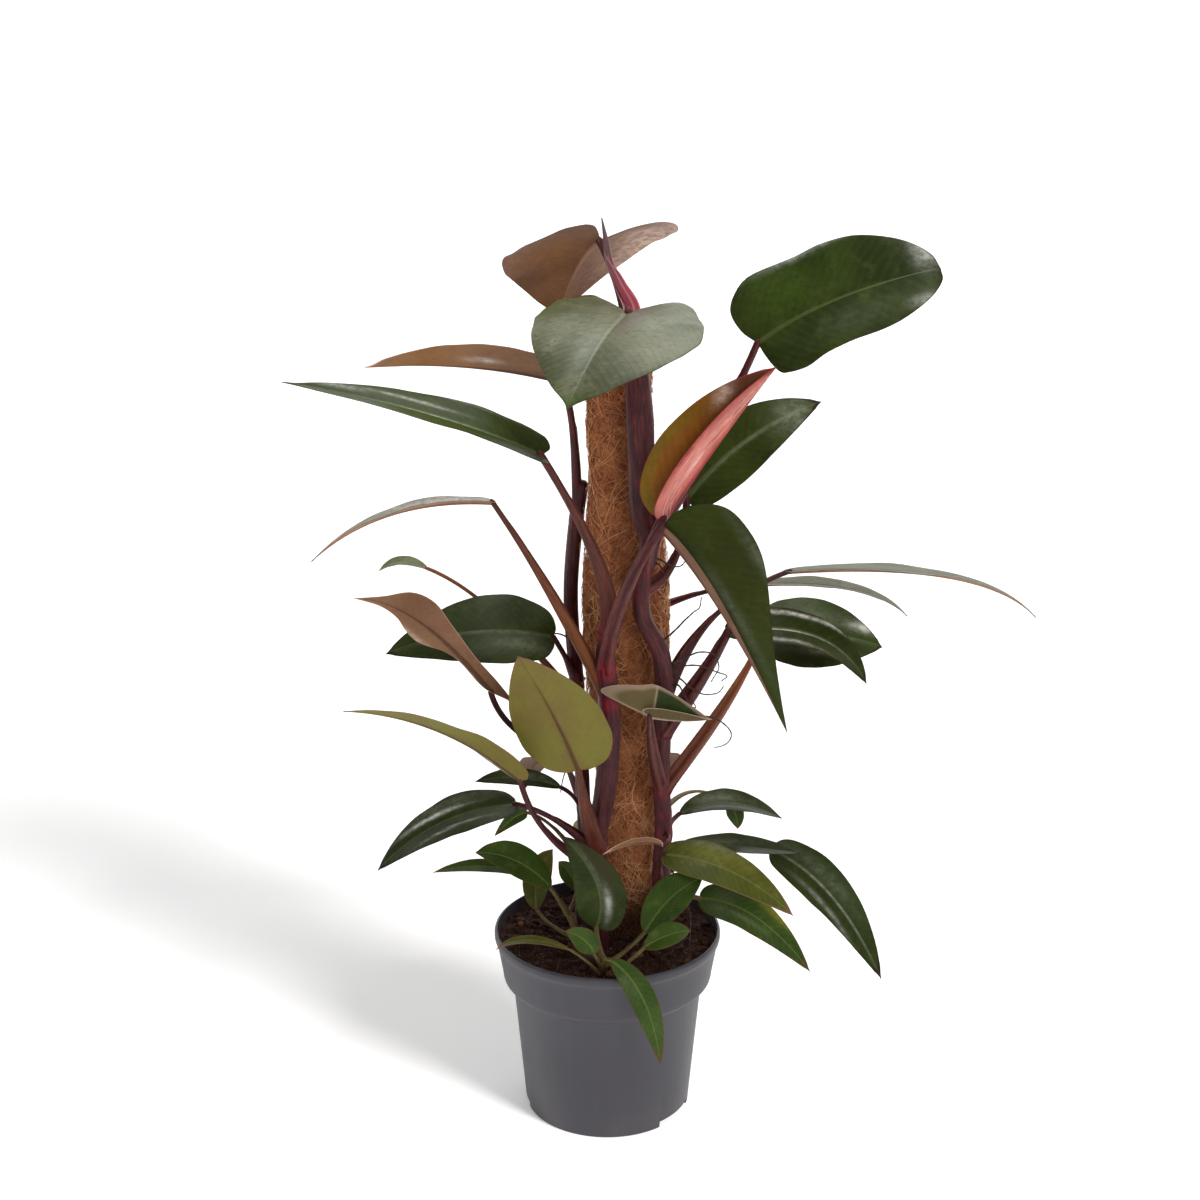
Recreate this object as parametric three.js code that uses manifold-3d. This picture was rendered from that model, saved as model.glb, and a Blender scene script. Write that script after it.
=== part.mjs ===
// Potted philodendron climbing a coir pole, in a round plastic nursery pot.
// Millimetres, +Z up. The origin is the centre of the pot's underside; the front looks along -Y.

import * as THREE from 'three';
import { mergeVertices } from 'three/addons/utils/BufferGeometryUtils.js';
import Module from 'manifold-3d';

const wasm = await Module();
wasm.setup();

// Driving dimensions
const gap = 0.3;
const potHeight = 160;
const rimRadius = 95;
const baseRadius = 69.7;
const wallTopRadius = 79.6;
const collarFootRadius = 88.5;
const collarFootHeight = 122;
const wallThickness = 1.6;
const floorThickness = 2.2;
const notchDepth = 20;
const notchHeight = 6;
const notchAngles = [-32, 84, 186];
const notchWidths = [38, 34, 26];
const drainHole = 5;
const soilDepthUnderRim = 9;
const turns = 40;
const poleSides = 20;
const coreRadius = 9;
const coreFoot = 14;
const coreTop = 651;
const poleTop = 655;
const poleFoot = 122;
const bladeEdge = 0.7;
const bladeMiddle = 1.2;
const creaseWidth = 4;
const evenFold = [12, 12];
const sheathTaper = 1.6;

// Colours
const colours = {
  pot: 0x5d5f68,
  soil: 0x2b1c15,
  coir: 0x8a5d3c,
  wood: 0xa98a5f,
  vine: 0x4a2834,
  spike: 0x8f2f48,
  green: 0x2f4a2a,
  silver: 0x6f7d66,
  fresh: 0x47702e,
  bronze: 0x7a5138,
  olive: 0x6f6a3a,
  copper: 0x8c5a3c,
};

// Outlines of half a blade: distance from the midrib over the half width, place along the midrib.
// A leaf's form is its left half's outline, and its right half's too unless it has another
const outlines = {
  heart: [[0, 0], [0.2, -0.07], [0.5, -0.13], [0.84, -0.04], [1, 0.16], [0.95, 0.38], [0.74, 0.62],
    [0.36, 0.85], [0.1, 0.95], [0, 1]],
  round: [[0, 0], [0.22, -0.03], [0.45, -0.06], [0.72, -0.09], [0.93, -0.05], [1.02, 0.1], [0.98, 0.3],
    [0.76, 0.6], [0.36, 0.85], [0.1, 0.95], [0, 1]],
  wing: [[0, 0], [0.12, -0.08], [0.35, -0.17], [0.6, -0.12], [0.86, 0.04], [1, 0.24], [0.95, 0.41],
    [0.74, 0.63], [0.36, 0.85], [0.1, 0.95], [0, 1]],
  oval: [[0, 0], [0.35, -0.05], [0.75, -0.04], [0.97, 0.1], [1, 0.3], [0.97, 0.5], [0.88, 0.7],
    [0.66, 0.86], [0.3, 0.97], [0, 1]],
  lance: [[0, 0], [0.3, -0.01], [0.7, 0.05], [0.95, 0.2], [1, 0.38], [0.85, 0.6], [0.55, 0.79],
    [0.22, 0.93], [0.07, 0.975], [0, 1]],
  young: [[0, 0], [0.25, 0.02], [0.6, 0.12], [0.9, 0.3], [1, 0.48], [0.86, 0.68], [0.5, 0.86],
    [0.15, 0.96], [0, 1]],
  drop: [[0, 0], [0.3, -0.01], [0.66, 0.04], [0.94, 0.14], [1, 0.27], [0.94, 0.4], [0.74, 0.53],
    [0.5, 0.66], [0.29, 0.79], [0.13, 0.9], [0, 1]],
  ladle: [[0, 0], [0.3, -0.06], [0.5, -0.1], [0.52, 0], [0.48, 0.16], [0.72, 0.34], [1, 0.48],
    [0.88, 0.62], [0.36, 0.76], [0.12, 0.88], [0, 1]],
  flap: [[0, 0], [0.2, 0.06], [0.2, 0.2], [0.42, 0.29], [0.76, 0.36], [1, 0.44], [0.86, 0.54],
    [0.5, 0.63], [0.26, 0.76], [0.16, 0.9], [0, 1]],
};

// The coir pole leans a little and is thicker in its middle: centre x, y, height, radius
const poleRings = [
  [17, 12, poleFoot, 22], [17, 12, 200, 22], [17, 12, 260, 23], [16, 11, 330, 27], [15, 11, 385, 32],
  [15, 10, 430, 34.5], [15, 10, 470, 34], [13, 10, 515, 29.5], [11, 9, 560, 26], [9, 8, 610, 25],
  [8, 8, poleTop, 24],
];

// Climbing stems: points from the soil to the growing end, and the radius along them
const vines = {
  vine_right: {
    points: [[44, -16, 70], [44, -16, 209], [46, -17, 255], [44, -20, 296], [44, -24, 336], [45, -30, 381],
      [41, -37, 417], [27, -41, 447], [27, -43, 480], [32, -38, 508], [26, -34, 534], [24, -32, 600],
      [19, -28, 672]],
    radii: [7, 7, 7, 7, 7, 7.5, 7, 6.5, 7, 8, 9.5, 10.5, 8],
    roots: [
      { from: [46, -32, 392], by: [[68, -30, 405], [95, -34, 396], [86, -40, 372]] },
      { from: [46, -30, 384], by: [[66, -26, 384], [88, -24, 378], [98, -30, 366]] },
      { from: [46, -27, 370], by: [[58, -34, 356], [76, -40, 345], [94, -34, 352]] },
      { from: [45, -25, 360], by: [[54, -36, 340], [60, -40, 326]] },
      { from: [44, -34, 408], by: [[58, -30, 430], [66, -24, 452], [52, -20, 468]] },
      { from: [40, -38, 424], by: [[54, -44, 440], [74, -40, 452]] },
      { from: [46, -18, 236], by: [[58, -30, 214], [68, -42, 190], [64, -46, 136]] },
    ],
  },
  vine_front: {
    points: [[-6, -24, 70], [-6, -24, 209], [-9, -27, 250], [-2, -31, 295], [2, -34, 349], [0, -37, 383],
      [-2, -40, 409], [0, -41, 436]],
    radii: [7, 7, 8, 9, 8.5, 8, 8, 6],
    roots: [
      { from: [-8, -26, 232], by: [[-20, -38, 216], [-26, -42, 190], [-22, -46, 136]] },
    ],
  },
  vine_left: {
    points: [[-19, 34, 70], [-19, 34, 206], [-21, 34, 279], [-25, 33, 361], [-30, 31, 438], [-26, 28, 500],
      [-20, 24, 540]],
    radii: [6, 6, 6, 6, 6, 6, 5],
    roots: [
      { from: [-28, 32, 404], by: [[-42, 28, 410], [-56, 24, 404]] },
      { from: [-22, 34, 300], by: [[-34, 44, 286], [-40, 46, 262]] },
    ],
  },
  vine_back: {
    points: [[26, 50, 70], [26, 50, 255], [22, 56, 396], [20, 54, 440], [16, 44, 553], [12, 42, 590]],
    radii: [7, 7, 7.5, 7.5, 6, 5],
    roots: [
      { from: [23, 55, 370], by: [[40, 62, 352], [46, 66, 330]] },
      { from: [24, 53, 300], by: [[12, 62, 282], [4, 60, 256]] },
    ],
  },
  shoot_left: {
    points: [[-27, -30, 92], [-27, -30, 172], [-33, -24, 184]],
    radii: [3.2, 3.2, 2.4],
    roots: [],
  },
  shoot_front: {
    points: [[-4, -69, 108], [-4, -71, 150], [-4, -72, 170]],
    radii: [3.6, 3.6, 3],
    roots: [],
  },
};

// Leaves. root: where the stalk leaves its stem; elbow: what the stalk bends towards; base, bend and
// tip: the midrib's ends and what it bends towards; face: where the upper side looks; fold: how far
// each half is raised, left and right; sheath and stalk: radii at the stalk's foot and head
const leaves = [
  { name: 'leaf_top_left', vine: 'vine_back', root: [14, 43, 560], elbow: [27, 42, 664],
    base: [-7, 42, 728], bend: [-24, 72, 714], tip: [-42, 100, 659], width: 124, form: 'wing',
    other: 'heart', face: [0, 0.7, 0.7], fold: [-4, 40], share: [1.12, 1.4], sweep: [0, -0.16],
    lobe: [2.7, 0.9], cup: -24, sheath: 5, stalk: 3, colour: 'copper' },
  { name: 'leaf_top_front', vine: 'vine_right', root: [18, -28, 643], elbow: [20, -52, 662],
    base: [15, -44, 685], bend: [-6, -96, 678], tip: [-30, -131, 630], width: 132, form: 'wing',
    other: 'round', face: [-0.2, -0.35, 0.9], fold: [1, 12], share: [1.04, 1], lobe: [1.8, 3.6],
    cup: -8, sheath: 5, stalk: 3.4, colour: 'silver' },
  { name: 'leaf_top_right', vine: 'vine_right', root: [32, -38, 508], elbow: [88, -10, 590],
    base: [114, -10, 656], bend: [162, -30, 698], tip: [248, -30, 716], width: 92, form: 'oval',
    face: [0.1, -0.8, 0.6], fold: [5, 5], share: [1.02, 0.84], sweep: [0, 0.07], lobe: [1, 0.3], wave: 3,
    sheath: 7, stalk: 2.8, reach: 0.9, colour: 'green' },
  { name: 'leaf_bronze_left', vine: 'vine_left', root: [-25, 27, 508], elbow: [-24, 16, 598],
    base: [-37, 10, 624], bend: [-107, 10, 641], tip: [-188, 0, 636], width: 62, form: 'heart',
    other: 'lance', face: [0, 0.65, 0.75], fold: [5, 30], share: [1, 0.7], sweep: [0.1, 0.1],
    lobe: [0.4, 1], sheath: 4, stalk: 2.8, colour: 'bronze' },
  { name: 'leaf_long_left', vine: 'vine_front', root: [0, -41, 434], elbow: [10, -62, 482],
    base: [-51, -58, 580], bend: [-125, -66, 618], tip: [-242, -66, 637], width: 54, form: 'heart',
    face: [-0.05, -0.22, 0.97], fold: [14, 14], lobe: [0.3, 0.3], sheath: 7, stalk: 3, reach: 0.9,
    colour: 'green' },
  { name: 'leaf_unrolled', vine: 'vine_right', root: [28, -43, 488], elbow: [30, -62, 508],
    base: [41, -62, 531], bend: [80, -64, 591], tip: [125, -54, 646], width: 66, form: 'lance',
    face: [-0.15, -0.95, 0.25], fold: [6, 120], share: [1.12, 0.74], sheath: 6, stalk: 4,
    colour: 'bronze' },
  { name: 'leaf_behind_unrolled', vine: 'vine_right', root: [27, -42, 468], elbow: [60, -24, 478],
    base: [62, -4, 532], bend: [103, 8, 586], tip: [167, 10, 607], width: 54, form: 'lance',
    face: [-0.3, -0.85, 0.5], fold: [5, 5], sheath: 5, stalk: 3, colour: 'green' },
  { name: 'leaf_hanging', vine: 'vine_front', root: [-2, -42, 404], elbow: [3, -84, 474],
    base: [40, -78, 529], bend: [84, -94, 482], tip: [137, -98, 372], width: 100, form: 'drop',
    face: [0, -0.95, 0.3], fold: [8, 118], share: [1, 0.17], lobe: [1, 1], sheath: 6, stalk: 3.6,
    reach: 1, colour: 'green' },
  { name: 'leaf_drooping_left', vine: 'vine_front', root: [0, -37, 376], elbow: [-33, -38, 452],
    base: [-90, -14, 532], bend: [-177, -20, 538], tip: [-232, -30, 488], width: 44, form: 'lance',
    face: [0, 0.14, 1], fold: [10, 10], sheath: 5.5, stalk: 2.2, reach: 1, colour: 'silver' },
  { name: 'leaf_small_left', vine: 'vine_left', root: [-24, 33, 348], elbow: [-96, 44, 440],
    base: [-148, 48, 460], bend: [-172, 52, 472], tip: [-189, 54, 456], width: 14, form: 'young',
    face: [0, -0.3, 0.9], sheath: 3, stalk: 1.6, colour: 'olive' },
  { name: 'leaf_dark_left', vine: 'vine_left', root: [-24, 33, 366], elbow: [-34, 22, 392],
    base: [-44, 14, 412], bend: [-103, 6, 432], tip: [-180, 4, 401], width: 74, form: 'lance',
    face: [0, -0.5, 0.85], fold: [4, 4], sheath: 5, stalk: 2.2, colour: 'green' },
  { name: 'leaf_folded_left', vine: 'vine_left', root: [-22, 34, 298], elbow: [-84, -18, 334],
    base: [-93, -32, 381], bend: [-150, -40, 462], tip: [-198, -42, 462], width: 40, form: 'ladle',
    other: 'flap', face: [-0.3, 0.8, 0.5], fold: [38, 0], share: [1, 0.78], sheath: 4, stalk: 2.4,
    colour: 'bronze' },
  { name: 'leaf_olive_front', vine: 'vine_front', root: [-8, -26, 246], elbow: [-19, -50, 284],
    base: [-23, -57, 325], bend: [-41, -64, 377], tip: [-69, -80, 428], width: 78, form: 'lance',
    face: [0.1, 0.85, 0.5], fold: [4, 4], sheath: 7, stalk: 2.6, reach: 1, colour: 'olive' },
  { name: 'leaf_curled_front', vine: 'vine_right', root: [44, -20, 292], elbow: [33, -50, 340],
    base: [33, -56, 370], bend: [58, -60, 366], tip: [81, -66, 371], width: 54, form: 'heart',
    face: [0, -0.3, 0.95], fold: [60, 80], share: [0.95, 0.44], sweep: [-0.25, 0], lobe: [5.4, 1],
    sheath: 5.5, stalk: 2.4, reach: 1, colour: 'olive' },
  { name: 'leaf_far_right', vine: 'vine_right', root: [45, -28, 372], elbow: [66, -14, 446],
    base: [145, 6, 470], bend: [302, 8, 479], tip: [344, 0, 433], width: 44, form: 'lance',
    face: [0, 0.1, 1], fold: [4, 10], sheath: 6, stalk: 2.2, reach: 0.6, colour: 'silver' },
  { name: 'leaf_thin_right', vine: 'vine_back', root: [21, 55, 412], elbow: [66, 48, 444],
    base: [127, 34, 451], bend: [216, 34, 455], tip: [246, 32, 424], width: 38, form: 'lance',
    face: [0, 0, 1], fold: [4, 12], sheath: 4, stalk: 2, colour: 'silver' },
  { name: 'leaf_right', vine: 'vine_right', root: [45, -19, 292], elbow: [104, 10, 360],
    base: [129, 44, 402], bend: [182, 50, 410], tip: [230, 54, 390], width: 72, form: 'lance',
    face: [0, -0.6, 0.8], fold: [4, 4], sheath: 6, stalk: 2, reach: 1, colour: 'green' },
  { name: 'leaf_striped_right', vine: 'vine_right', root: [44, -25, 344], elbow: [77, -33, 394],
    base: [96, -14, 426], bend: [180, -13, 440], tip: [208, -16, 382], width: 40, form: 'lance',
    face: [0, -0.4, 0.9], fold: [16, 8], sheath: 7, stalk: 3.6, reach: 1, colour: 'green' },
  { name: 'leaf_olive_left', vine: 'vine_front', root: [-7, -25, 226], elbow: [-58, -50, 258],
    base: [-70, -48, 313], bend: [-131, -62, 374], tip: [-207, -62, 376], width: 58, form: 'lance',
    face: [0, 0.42, 0.9], fold: [10, 10], sheath: 4.5, stalk: 2.4, colour: 'olive' },
  { name: 'leaf_low_left', vine: 'vine_front', root: [-8, -26, 238], elbow: [-40, -30, 276],
    base: [-75, -30, 284], bend: [-138, -50, 289], tip: [-185, -60, 239], width: 48, form: 'lance',
    face: [-0.15, -0.3, 0.95], fold: [6, 6], sheath: 4.5, stalk: 2.2, colour: 'green' },
  { name: 'leaf_narrow_left', vine: 'vine_left', root: [-19, 34, 216], elbow: [-16, 18, 268],
    base: [-39, 10, 282], bend: [-72, 10, 297], tip: [-110, 10, 287], width: 18, form: 'young',
    face: [0, -0.5, 0.8], sheath: 3, stalk: 1.8, colour: 'green' },
  { name: 'leaf_yellow_left', vine: 'vine_left', root: [-19, 34, 196], elbow: [-44, 20, 250],
    base: [-67, 6, 261], bend: [-77, 2, 262], tip: [-94, -2, 243], width: 12, form: 'lance',
    face: [0, -0.8, 0.5], sheath: 2.4, stalk: 1.4, colour: 'fresh' },
  { name: 'leaf_shoot_left', vine: 'shoot_left', root: [-29, -28, 176], elbow: [-38, -26, 196],
    base: [-47, -24, 207], bend: [-73, -26, 240], tip: [-108, -32, 242], width: 32, form: 'young',
    face: [0, -0.5, 0.8], sheath: 2.2, stalk: 1.6, colour: 'fresh' },
  { name: 'leaf_shoot_left_thin', vine: 'shoot_left', root: [-33, -24, 182], elbow: [-44, -12, 200],
    base: [-58, -8, 208], bend: [-98, -6, 226], tip: [-145, -10, 214], width: 15, form: 'young',
    face: [0, -0.4, 0.9], sheath: 2.2, stalk: 1.4, colour: 'fresh' },
  { name: 'leaf_shoot_up', vine: 'shoot_left', root: [-28, -30, 164], elbow: [-52, -6, 164],
    base: [-60, 8, 172], bend: [-65, 12, 202], tip: [-46, 26, 219], width: 24, form: 'young',
    face: [0, -0.9, 0.3], sheath: 2, stalk: 1.4, colour: 'olive' },
  { name: 'leaf_shoot_pale', vine: 'shoot_left', root: [-32, -25, 183], elbow: [-26, -10, 190],
    base: [-26, -4, 196], bend: [-31, 0, 211], tip: [-41, 3, 218], width: 16, form: 'young',
    face: [0, -0.9, 0.3], sheath: 2, stalk: 1.4, colour: 'fresh' },
  { name: 'leaf_front_glossy', vine: 'shoot_front', root: [-4, -72, 166], elbow: [-9, -68, 182],
    base: [-9, -62, 190], bend: [5, -58, 223], tip: [-36, -66, 272], width: 42, form: 'lance',
    face: [0.1, -0.9, 0.4], fold: [6, 6], sheath: 2.6, stalk: 1.9, colour: 'green' },
  { name: 'leaf_brown_front', vine: 'vine_right', root: [45, -16, 251], elbow: [54, -42, 261],
    base: [44, -54, 259], bend: [26, -64, 271], tip: [-4, -79, 262], width: 13, form: 'young',
    face: [0, 0.8, 0.6], sheath: 2.6, stalk: 1.6, colour: 'bronze' },
  { name: 'leaf_olive_right', vine: 'vine_right', root: [44, -16, 208], elbow: [40, -32, 232],
    base: [46, -36, 242], bend: [102, -52, 246], tip: [150, -62, 200], width: 38, form: 'lance',
    face: [0.1, -0.5, 0.8], fold: [5, 5], sheath: 3.4, stalk: 2, colour: 'olive' },
  { name: 'leaf_dark_right', vine: 'vine_right', root: [45, -16, 230], elbow: [52, -6, 236],
    base: [58, -2, 234], bend: [106, 2, 236], tip: [162, 4, 225], width: 30, form: 'young',
    face: [0, -0.15, 0.95], sheath: 3, stalk: 2, colour: 'green' },
  { name: 'leaf_low_right', vine: 'vine_right', root: [44, -16, 214], elbow: [80, 24, 222],
    base: [140, 18, 222], bend: [194, -4, 204], tip: [229, -28, 125], width: 44, form: 'lance',
    face: [0.3, -0.6, 0.7], fold: [6, 6], sheath: 3.4, stalk: 2, colour: 'green' },
  { name: 'leaf_edge_right', vine: 'vine_right', root: [44, -16, 194], elbow: [60, -20, 200],
    base: [77, -22, 196], bend: [121, -32, 201], tip: [167, -47, 142], width: 38, form: 'lance',
    face: [0.2, -0.5, 0.8], fold: [5, 5], sheath: 3, stalk: 2, colour: 'fresh' },
  { name: 'leaf_green_right', vine: 'vine_right', root: [46, -17, 254], elbow: [54, -4, 260],
    base: [60, 4, 261], bend: [98, 8, 282], tip: [146, 10, 254], width: 32, form: 'young',
    face: [0, -0.2, 0.95], sheath: 3, stalk: 2, colour: 'green' },
  { name: 'leaf_tiny_right', vine: 'vine_right', root: [45, -18, 272], elbow: [70, 48, 276],
    base: [101, 40, 256], bend: [111, 38, 250], tip: [111, 38, 232], width: 15, form: 'young',
    face: [0, -0.9, 0.3], sheath: 2.2, stalk: 1.3, colour: 'fresh' },
  { name: 'leaf_front_right', vine: 'shoot_front', root: [-3, -72, 160], elbow: [14, -66, 168],
    base: [30, -60, 184], bend: [50, -56, 220], tip: [77, -50, 228], width: 36, form: 'young',
    face: [-0.2, -0.6, 0.8], sheath: 2.4, stalk: 1.7, colour: 'fresh' },
  { name: 'leaf_small_right', vine: 'shoot_front', root: [-3, -72, 152], elbow: [16, -86, 168],
    base: [29, -86, 184], bend: [49, -88, 199], tip: [66, -86, 199], width: 22, form: 'young',
    face: [-0.2, -0.6, 0.8], sheath: 2, stalk: 1.4, colour: 'fresh' },
  { name: 'leaf_small_front', vine: 'shoot_front', root: [-5, -73, 160], elbow: [-8, -80, 170],
    base: [-11, -80, 175], bend: [-14, -80, 188], tip: [-34, -80, 196], width: 20, form: 'young',
    face: [0, -0.8, 0.6], sheath: 2, stalk: 1.4, colour: 'fresh' },
  { name: 'leaf_over_rim', vine: 'shoot_front', root: [-4, -73, 156], elbow: [-4, -84, 176],
    base: [2, -92, 176], bend: [34, -112, 164], tip: [42, -118, 97], width: 22, form: 'young',
    face: [-0.2, -0.7, 0.6], sheath: 2, stalk: 1.6, colour: 'fresh' },
  { name: 'leaf_rim_left', vine: 'shoot_front', root: [-5, -73, 152], elbow: [-16, -84, 172],
    base: [-30, -82, 180], bend: [-70, -76, 194], tip: [-90, -74, 176], width: 10, form: 'young',
    face: [0, -0.3, 1], sheath: 1.6, stalk: 1.2, colour: 'olive' },
];

// Everything seen from behind: leaves that hang or reach backwards from the stems at the back
const backLeaves = [
  { name: 'leaf_back_high', vine: 'vine_back', root: [18, 49, 538], elbow: [20, 86, 592],
    base: [14, 98, 626], bend: [4, 150, 630], tip: [-4, 168, 576], width: 66, form: 'heart',
    face: [0, 0.5, 0.9], fold: [6, 6], sheath: 4.5, stalk: 2.6, colour: 'green' },
  { name: 'leaf_back_upper', vine: 'vine_back', root: [19, 52, 488], elbow: [18, 86, 536],
    base: [18, 102, 540], bend: [16, 124, 500], tip: [14, 118, 420], width: 58, form: 'lance',
    face: [0, 0.95, 0.2], fold: [6, 6], sheath: 5, stalk: 2.6, colour: 'green' },
  { name: 'leaf_back_middle', vine: 'vine_back', root: [21, 55, 420], elbow: [14, 76, 436],
    base: [10, 88, 424], bend: [2, 106, 374], tip: [6, 102, 300], width: 54, form: 'lance',
    face: [-0.1, 0.95, 0.2], fold: [6, 6], sheath: 5, stalk: 2.4, colour: 'olive' },
  { name: 'leaf_back_low', vine: 'vine_back', root: [26, 50, 262], elbow: [40, 72, 290],
    base: [44, 88, 282], bend: [50, 132, 262], tip: [50, 150, 206], width: 40, form: 'lance',
    face: [0.1, 0.6, 0.7], fold: [6, 6], sheath: 4, stalk: 2.2, colour: 'green' },
  { name: 'leaf_back_rim', vine: 'vine_back', root: [26, 50, 200], elbow: [10, 70, 222],
    base: [0, 80, 220], bend: [-16, 116, 216], tip: [-22, 140, 160], width: 36, form: 'lance',
    face: [-0.1, 0.5, 0.8], fold: [6, 6], sheath: 3.4, stalk: 2, colour: 'fresh' },
  { name: 'leaf_back_left', vine: 'vine_left', root: [-20, 34, 254], elbow: [-34, 62, 282],
    base: [-40, 76, 280], bend: [-64, 116, 276], tip: [-74, 142, 226], width: 40, form: 'lance',
    face: [-0.2, 0.5, 0.8], fold: [6, 6], sheath: 4, stalk: 2, colour: 'green' },
];

// How finely a leaf is made: rows along it, places across each half, and its stalk's steps and sides
const grids = {
  broad: { rows: 8, across: [0.1, 0.55, 1], steps: 6, sides: 6 },
  long: { rows: 6, across: [0.12, 1], steps: 5, sides: 5 },
  small: { rows: 5, across: [1], steps: 4, sides: 4 },
};

function gridOf(leaf) {
  if (leaf.width > 60 || (leaf.form === 'heart' && leaf.width > 50)) {
    return 'broad';
  }
  return leaf.width > 24 ? 'long' : 'small';
}

// Small helpers on points
const vector = ([x, y, z]) => new THREE.Vector3(x, y, z);
const radians = THREE.MathUtils.degToRad;

function solidOf(geometry) {
  const bare = geometry.clone();
  bare.deleteAttribute('normal');
  bare.deleteAttribute('uv');
  const merged = mergeVertices(bare, 1e-4);
  const mesh = new wasm.Mesh({
    numProp: 3,
    vertProperties: new Float32Array(merged.attributes.position.array),
    triVerts: new Uint32Array(merged.index.array),
  });
  return new wasm.Manifold(mesh);
}

function geometryOf(solid) {
  const mesh = solid.getMesh();
  const geometry = new THREE.BufferGeometry();
  geometry.setAttribute('position', new THREE.BufferAttribute(mesh.vertProperties, 3));
  geometry.setIndex(new THREE.BufferAttribute(mesh.triVerts, 1));
  geometry.computeVertexNormals();
  return geometry;
}

// The largest single body of a solid, without the scraps that a cut leaves
function mainBody(solid) {
  const bodies = solid.decompose();
  return bodies.reduce((best, body) => (body.volume() > best.volume() ? body : best));
}

// A closed skin over rings of points that all have the same count
function skin(rings) {
  const count = rings[0].length;
  const positions = rings.flat().flatMap((p) => [p.x, p.y, p.z]);
  const index = [];
  for (let i = 0; i + 1 < rings.length; i += 1) {
    for (let k = 0; k < count; k += 1) {
      const next = (k + 1) % count;
      const a = i * count + k;
      const b = i * count + next;
      index.push(a, b, b + count, a, b + count, a + count);
    }
  }
  for (const [ring, turned] of [[0, true], [rings.length - 1, false]]) {
    const middle = positions.length / 3;
    const centre = rings[ring].reduce((sum, p) => sum.add(p), new THREE.Vector3()).divideScalar(count);
    positions.push(centre.x, centre.y, centre.z);
    for (let k = 0; k < count; k += 1) {
      const a = ring * count + k;
      const b = ring * count + ((k + 1) % count);
      index.push(...(turned ? [middle, b, a] : [middle, a, b]));
    }
  }
  const geometry = new THREE.BufferGeometry();
  geometry.setAttribute('position', new THREE.Float32BufferAttribute(positions, 3));
  geometry.setIndex(index);
  return geometry;
}

// A round stem along points, with its own radius at each point
function stem(points, radii, sides) {
  const rings = [];
  let across = null;
  points.forEach((point, i) => {
    const before = points[Math.max(i - 1, 0)];
    const after = points[Math.min(i + 1, points.length - 1)];
    const along = after.clone().sub(before).normalize();
    if (!across) {
      const away = Math.abs(along.z) < 0.9 ? new THREE.Vector3(0, 0, 1) : new THREE.Vector3(1, 0, 0);
      across = new THREE.Vector3().crossVectors(along, away);
    }
    across.addScaledVector(along, -across.dot(along)).normalize();
    const third = new THREE.Vector3().crossVectors(along, across);
    const ring = [];
    for (let k = 0; k < sides; k += 1) {
      const turn = (2 * Math.PI * k) / sides;
      ring.push(point.clone()
        .addScaledVector(across, radii[i] * Math.cos(turn))
        .addScaledVector(third, radii[i] * Math.sin(turn)));
    }
    rings.push(ring);
  });
  return skin(rings);
}

// Values of a short list, read evenly along it
function along(values, share) {
  const place = share * (values.length - 1);
  const low = Math.min(Math.floor(place), values.length - 2);
  return THREE.MathUtils.lerp(values[low], values[low + 1], place - low);
}

function smoothRoute(points, steps) {
  const curve = new THREE.CatmullRomCurve3(points.map(vector), false, 'catmullrom', 0.5);
  return Array.from({ length: steps + 1 }, (_, i) => curve.getPoint(i / steps));
}

// Pot: a turned shell with a deep collar, a flat underside and raised drainage notches
function ringSector(inner, outer, angle, width, low, high) {
  const shape = new THREE.Shape();
  const from = radians(angle - width / 2);
  const to = radians(angle + width / 2);
  shape.absarc(0, 0, outer, from, to, false);
  shape.absarc(0, 0, inner, to, from, true);
  const block = new THREE.ExtrudeGeometry(shape, { depth: high - low, bevelEnabled: false, curveSegments: 6 });
  block.translate(0, 0, low);
  return solidOf(block);
}

function turned(profile) {
  const points = profile.map(([r, z]) => new THREE.Vector2(r, z));
  const geometry = new THREE.LatheGeometry(points, turns);
  geometry.rotateX(Math.PI / 2);
  return solidOf(geometry);
}

function potProfiles() {
  const t = wallThickness;
  const outer = [
    [0, 0], [baseRadius - 1, 0], [baseRadius, 1], [wallTopRadius, collarFootHeight - 11],
    [collarFootRadius - 5, collarFootHeight - 8], [collarFootRadius - 1.2, collarFootHeight - 4],
    [collarFootRadius, collarFootHeight], [rimRadius - 0.6, potHeight - 3], [rimRadius, potHeight - 1.6],
    [rimRadius - 0.5, potHeight - 0.3], [rimRadius - 1.4, potHeight], [0, potHeight],
  ];
  const inner = [
    [0, floorThickness], [baseRadius - t, floorThickness],
    [wallTopRadius - t, collarFootHeight - 10], [collarFootRadius - 6, collarFootHeight - 6],
    [collarFootRadius - t - 0.8, collarFootHeight - 2], [collarFootRadius - t, collarFootHeight + 2],
    [rimRadius - t - 0.8, potHeight - 2], [rimRadius - t - 0.5, potHeight + 1], [0, potHeight + 1],
  ];
  return { outer, inner };
}

// The raised roof over each drainage notch, larger by extra all round
function notchRoofs(extra) {
  return notchAngles.map((angle, i) => ringSector(
    baseRadius - notchDepth - wallThickness - extra,
    baseRadius + 2,
    angle,
    notchWidths[i] + 4 + 2 * extra,
    -1,
    notchHeight + floorThickness + extra,
  ));
}

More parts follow.
